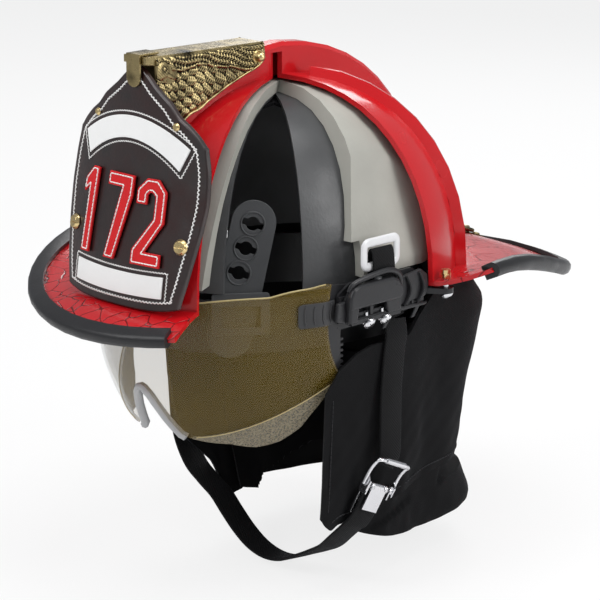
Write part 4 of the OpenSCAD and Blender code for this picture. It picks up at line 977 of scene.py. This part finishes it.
RIDGE_A, QUARTER = -34.5, math.pi / 2 * 0.98
xs = LENS_END * np.sin(np.linspace(-1, 1, 121) * QUARTER) / math.sin(QUARTER)
lx, lv = np.meshgrid(xs, np.linspace(0, 1, 33))
low = lens_line(lx, LENS_LOW)
la = low + (lens_line(lx, LENS_HIGH) - low) * lv
piece("visor_lens_clear",
      sheet_mesh(lens_pt(lx, la, LENS_T / 2), lens_pt(lx, la, -LENS_T / 2)),
      "lens", "lens_amber", 40.0, "visor", "visor_lens")
# The ridge is a real moulded step, drawn in the pale edge colour as a painted highlight
ridge_x = xs[lens_line(xs, LENS_LOW) < RIDGE_A - 0.9]
for side, name in SIDES:
    part = ridge_x[side * ridge_x > 0]
    tube("lens_ridge_" + name, lens_pt(part, np.full(len(part), RIDGE_A), LENS_T / 2 + 0.05),
         0.35, "edge", 6, body="visor")
# The top edge is a thin tube in the pale edge colour: a painted highlight along the lens's rim
top_x = np.linspace(-LENS_END + 1, LENS_END - 1, 120)
tube("lens_top_edge", lens_pt(top_x, lens_line(top_x, LENS_HIGH), 0.0), 0.55, "edge",
     body="visor")


# Pull grips: one curved plate a side, from the lens's end to the bracket, with upright ridges

GRIP_EDGE = [[0, 0.8], [0.05, 0.95], [0.1, 1], [1, 1]]
GRIP_MID, RIDGES = -4, 4


def grip_line(proud):
    """Plan points (x, y) along the grip, proud of the lens, and then straight back."""
    xs = np.linspace(88.2, LENS_END, 12)
    front = lens_pt(xs, np.zeros(12), LENS_T / 2 + proud)[:, :2]
    back = np.array([(front[-1][0] + 0.3 + 0.5 * proud, y) for y in (front[-1][1] + 3, -42.0)])
    return evenly(np.concatenate([front, back]), 0.6)


for side, name in SIDES:
    rows = []
    for proud in (1.1, 0.2):
        plan = grip_line(proud)
        share = np.linspace(0, 1, len(plan))
        tall = lookup(share, GRIP_EDGE)
        high = GRIP_MID + (7.2 + 0.4 * share) * tall
        low = GRIP_MID - (8.2 - 0.8 * share) * tall
        up = np.linspace(0, 1, 11)[:, None]
        rows.append(stacked(side * plan[:, 0], plan[:, 1], low + (high - low) * up))
    count = min(rows[0].shape[1], rows[1].shape[1])
    grip = piece("grip_plate_" + name, sheet_mesh(rows[0][:, :count], rows[1][:, :count]),
                 "grip", "grip_grey", 50.0, "visor", "visor_grip_" + name)
    rounded(grip, 0.4, 3, 50.0)
    parts = []
    for k in range(RIDGES):
        at = (0.2 + 0.235 * k) * (count - 1)
        ridge = []
        for t in np.linspace(0, 1, 11):
            bow = math.sin(math.pi * t)
            x, y, _ = rows[0][5, int(round(at - 1.6 * bow))]
            ridge.append((x + side * 0.15 * bow ** 0.5, y, 1.8 - 11.8 * t))
        parts.append(wire(ridge, 0.55, 8))
    piece("grip_ridges_" + name, joined(parts), "grip", "grip_grey", body="visor")


# Straps: woven bands with rounded edges

def band_section(w, t):
    """Flat section with rounded edges."""
    out = []
    for side in (1, -1):
        for a in (-90, -45, 0, 45, 90):
            out.append((side * (w / 2 - t / 2) + side * t / 2 * cosd(a), side * t / 2 * sind(a)))
    return out


def strap(route, t, lean=0.0):
    """Webbing of thickness t along a route, turned by lean at its end."""
    line = refined(route, 6)
    n = len(line)
    tilt = ease(0, lean, 2 * np.arange(n) / (n - 1) - 1)
    ups = np.stack([0 * tilt, cosd(tilt), -sind(tilt)], 1)
    return sweep(line, band_section(WEB_W, t), up=ups)


def in_buckle(p):
    """Point of the buckle's own frame in the helmet's."""
    x = p[0] * cosd(BUCKLE_TIP) + p[2] * sind(BUCKLE_TIP)
    z = p[2] * cosd(BUCKLE_TIP) - p[0] * sind(BUCKLE_TIP)
    return BUCKLE_AT + [x, p[1] * cosd(BUCKLE_LEAN) + z * sind(BUCKLE_LEAN),
                        z * cosd(BUCKLE_LEAN) - p[1] * sind(BUCKLE_LEAN)]


CHIN_ROUTE = [(-STRAP_X - 0.8, 8, -17.6), (-100.8, 7.8, -27), (-101.2, 7, -36), (-99.5, 5, -75),
              (-96, 3, -104), (-88, -1, -130), (-74, -4, -148), (-58, -6, -157), (-44, -8, -163),
              (-31, -10, -172), (-17, -12, -181), (-3, -13, -188), (12, -13.5, -191),
              (28, -15, -188.5), (44, -17, -181.3), (58, -19, -174.5), (71, -21, -167.3),
              (82, -23, -158), (91.4, -21.5, -148.5), in_buckle((3.9, 0, -19)),
              in_buckle((3.9, 0, -3))]
UPPER_ROUTE = [(STRAP_X + 0.8, 8, -17.6), (100.8, 7, -27), (101.2, 5, -36), (101.4, 2, -62),
               (101.6, 1.5, -84), in_buckle((2.2, 0, 24)), in_buckle((2.5, 0, 16))]
piece("chin_strap_webbing",
      joined([strap(CHIN_ROUTE, WEB_T, BUCKLE_LEAN), strap(UPPER_ROUTE, WEB_T)]),
      "webbing", "webbing_black", replaces="chin_strap")
RING_LOOP = [(96.2, -4.5, 14.5), (96.1, -5.4, 22), (96.9, -5.5, 28), (98.5, -5.5, 30.6),
             (100.2, -5.5, 29), (101, -5.3, 24), (100.9, -4.6, 16), (99.2, -3, 10.5),
             (98.2, 0.5, 5), (STRAP_X, 6.5, -9), (STRAP_X, 7, -13.6), (STRAP_X + 0.7, 7.5, -17)]
for side, name in SIDES:
    piece("ring_strap_webbing_" + name,
          strap([(side * x, y, z) for x, y, z in RING_LOOP], RING_WEB_T),
          "webbing", "webbing_black", replaces="ring_strap_" + name)

# Buckle: bent wire frame over the upper strap, coiled rollers, side cheeks, serrated plates

WIRE = [(5, -14.2, 2), (5.4, -14.2, 12), (7.2, -14.2, 18), (9.4, -13.2, 20.6), (9.8, 0, 21.2),
        (9.4, 13.2, 20.6), (7.2, 14.2, 18), (5.4, 14.2, 12), (5, 14.2, 2)]
CHEEK = [(1.8, -3), (8.2, -1.5), (8.6, 4.5), (5.4, 8), (1.8, 5)]
COIL_R, COIL_LONG, COIL_MID = 2.2, 2.2, (5.4, 2)
tube("buckle_wire", refined([in_buckle(p) for p in WIRE], 6), 1.35, "steel",
     replaces="buckle_frame")
tube("buckle_wire_sleeve", [in_buckle((9.8, y, 21.1)) for y in (-9, 0, 9)], 2.0, "steel", 14)


def serrated(y0, y1, z0, z1, x, teeth):
    """Plate across the strap, its lower edge cut into teeth."""
    line = [(y1, z1), (y0, z1)]
    wide, deep = (y1 - y0) / teeth, 1.6
    for k in range(teeth):
        line += [(y0 + wide * (k + share), z)
                 for share, z in ((0.15, z0 + deep), (0.5, z0), (0.85, z0 + deep))]
    return prism(*([in_buckle((px, y, z)) for y, z in line] for px in (x + 0.8, x)))


piece("buckle_jaw", serrated(-11.4, 11.4, -19.5, -12, 2.0, 7), "steel", "steel_bright", 30.0)
parts = []
for y0 in (-12.4, -7.6, 5.2, 10.0):
    coil = [in_buckle((COIL_MID[0] + COIL_R * cosd(a), y0 + COIL_LONG * a / 1080,
                       COIL_MID[1] + COIL_R * sind(a))) for a in range(0, 1081, 30)]
    parts.append(wire(coil, 0.55, 6))
piece("buckle_springs", joined(parts), "steel", "steel_bright")
parts = [prism(*([in_buckle((x, y + off, z)) for x, z in CHEEK] for off in (0, 0.9)))
         for y in (-12.8, 12.2)]
piece("buckle_cheeks", joined(parts), "steel", "steel_bright", 30.0)


# Curtain and neck flap: cloth with folds, and hems. The tables pair drops with reaches

def box_r(a, w, f, r, power=2.5):
    """Reach at angle a of a rounded box: half width w, front f, rear r."""
    reach = np.where(sind(a) < 0, f, r)
    return ((np.abs(cosd(a)) / w) ** power + (np.abs(sind(a)) / reach) ** power) ** (-1 / power)


CURTAIN_LEFT = [[6, 100], [20, 99.6], [50, 98.6], [90, 95], [125, 91.5], [150, 88]]
CURTAIN_RIGHT = [[6, 100], [20, 99], [50, 97], [90, 94], [120, 87], [145, 73], [175, 57]]
CURTAIN_REAR = [[6, 120], [16, 140], [34, 157], [53, 151], [75, 141], [100, 136], [125, 132],
                [150, 124], [175, 116]]
FLAP_SIDE = [[90, 83], [132, 81], [150, 80], [170, 82], [180, 80]]
FLAP_REAR = [[90, 126], [128, 126], [150, 143], [168, 151], [180, 147]]


def curtain_k(a, z):
    """Reach of the curtain's face from the helmet's middle."""
    w = np.where(a < 90, lookup(-z, CURTAIN_LEFT), lookup(-z, CURTAIN_RIGHT))
    calm = unit(1 - np.abs((a - 90) / 78) ** 4)
    fold = 3.6 * sind(a * 10) * calm * unit((-z - 6) / 60)
    return box_r(a, w, w * 2.2, lookup(-z, CURTAIN_REAR, 3.0)) + fold


# Height of the lower and of the upper edge at angles about Z
LOW = [[-28, -139.5], [-26, -145.5], [-23, -150], [-20, -146.5], [-12, -146], [4, -143],
       [16, -139], [34, -133], [60, -130], [120, -132], [142, -146], [156, -171], [170, -172],
       [174, -150], [186, -132]]
TOP = -5.7
HIGH = [[-28, -56], [-22, -41], [-15, -34], [-8, -31], [12, -31], [17, -20], [21, -14],
        [28, TOP], [152, TOP], [159, -14], [163, -20], [168, -31], [180, -31], [186, -70]]


def ring_pt(a, z, k):
    return stacked(k * cosd(a), k * sind(a), z)


def wrinkles(a, z, size=0.5):
    """Small soft creases, the same on every run."""
    return size * (sind(a * 23 + z * 2.1) * sind(z * 5.3 + a * 3.7)
                   + 0.6 * sind(a * 41 - z * 7.9) * sind(z * 11.7))


def cloth(name, a, z, k, node, flat, held):
    """Sheet of cloth whose outer face has reach k at angle a and height z."""
    shape = sheet_mesh(ring_pt(a, z, k), ring_pt(a, z, k - CLOTH_T))
    obj = piece(name, shape, "cloth", "curtain_cloth", replaces=node)


ca, cv = np.meshgrid(np.linspace(*CURTAIN_ENDS, 241), np.linspace(1, 0, 57))
cz = lookup(ca, HIGH, 0.8) + (lookup(ca, LOW, 0.8) - lookup(ca, HIGH, 0.8)) * cv
ck = curtain_k(ca, cz) + wrinkles(ca, cz) * unit(cv * 1.6 - 0.2)
cloth("curtain_cloth", ca, cz, ck, "curtain", CURTAIN_FLAT, "hung")


def flap_k(a, v, z):
    """Reach of the flap's face: gathered inside the curtain above, free with folds below."""
    own = box_r(a, lookup(-z, FLAP_SIDE), 90, lookup(-z, FLAP_REAR, 3.0))
    own = own + 3 * sind(a * 7) * v
    room = curtain_k(a, z) - CLOTH_T - 0.9
    tied = ease(1, 0, v / 0.35)
    upper = z > lookup(a, LOW) - 18
    return np.where(upper, np.minimum(own + (room - own) * tied, room - 4 * (1 - tied)), own)


FLAP_TOP = -92
run = CURTAIN_ENDS[1] - CURTAIN_ENDS[0]
flap_ends = [CURTAIN_ENDS[0] + run * share for share in (5 / 50, 44 / 50)]
fa, fv = np.meshgrid(np.linspace(*flap_ends, 181), np.linspace(1, 0, 41))
fz = FLAP_TOP - (82 - 12 * np.abs((fa - 86) / 86) ** 4) * fv
reach = flap_k(fa, fv, fz) + wrinkles(fa, fz) * unit(fv * 2 - 1)
cloth("neck_flap_cloth", fa, fz, reach, "neck_flap", FLAP_FLAT, "gathered")


def seam(name, a, z, out):
    """Row of small stitches on the curtain's face."""
    line = evenly(ring_pt(a, z, curtain_k(a, z) + out), 3.0)
    parts = [wire([a + (b - a) * s for s in (0.12, 0.5, 0.88)], 0.35)
             for a, b in zip(line[:-1], line[1:])]
    piece(name, joined(parts), "dark_thread", "curtain_cloth")


hem_a = np.linspace(-23, 180, 160)
seam("curtain_hem_stitches", hem_a, lookup(hem_a, LOW, 0.8) + 6, 0.3)
seam("curtain_front_stitches", np.full(40, -25.0), np.linspace(-60, -136, 40), 0.2)


# Floor, light and camera

FLOOR_HALF, FLOOR_GAP = 6, 0.004


def stage_floor():
    """Pale floor that reads as the white of the background where the camera sees it."""
    z = float(cad_box[0][2]) - FLOOR_GAP
    mesh = bpy.data.meshes.new("floor")
    h = FLOOR_HALF
    mesh.from_pydata([(-h, -h, z), (h, -h, z), (h, h, z), (-h, h, z)], [], [(0, 1, 2, 3)])
    floor = linked("floor", mesh)
    n = Nodes("floor_pale")
    n.set(Base_Color=(0.8, 0.8, 0.8), Roughness=0.6)
    glow = n.add("ShaderNodeEmission", {"Color": (1, 1, 1), "Strength": 1.0})
    n.show(n.times(n.seen(), 0.8), n.shader.outputs[0], glow.outputs[0])
    mesh.materials.append(n.mat)


def world_light():
    """Soft grey light all round, and white where the camera sees it."""
    world = bpy.data.worlds.new("studio")
    bpy.context.scene.world = world
    n = Nodes("studio", world)
    n.set(Color=(0.75, 0.77, 0.8), Strength=0.45)
    white = n.add("ShaderNodeBackground", {"Color": (1, 1, 1), "Strength": 1.0})
    n.show(n.seen(), n.shader.outputs[0], white.outputs[0])


def lamp(name, at, size, power):
    """Square-cornered lamp that faces the helmet."""
    light = bpy.data.lights.new(name, "AREA")
    light.shape = "RECTANGLE"
    light.size, light.size_y = size
    light.energy = power
    obj = linked(name, light)
    obj.location = at
    obj.rotation_euler = (-Vector(at)).to_track_quat("-Z", "Y").to_euler()


stage_floor()
world_light()
lamp("key", (-0.35, -1.3, 1.1), (0.9, 0.9), 15)
lamp("top", (0.3, 0.1, 1.5), (1.0, 1.0), 14)
lamp("side", (1.5, 0.6, 0.7), (0.6, 1.1), 14)
lamp("rear", (-0.9, 1.4, 0.9), (0.9, 0.7), 12)

CAMERA_LENS, CAMERA_SENSOR = 167.4, 36
AIM, CAMERA_FAR = Vector((0.0154, 0.0074, -0.0212)), 1.8
turn, rise = math.radians(45), math.radians(15)
camera = linked("camera", bpy.data.cameras.new("camera"))
camera.data.lens, camera.data.sensor_width = CAMERA_LENS, CAMERA_SENSOR
camera.location = AIM + CAMERA_FAR * Vector((math.sin(turn) * math.cos(rise),
                                             -math.cos(turn) * math.cos(rise), math.sin(rise)))
camera.rotation_euler = (AIM - camera.location).to_track_quat("-Z", "Y").to_euler()
bpy.context.scene.camera = camera
bpy.context.scene.view_settings.view_transform = "Standard"
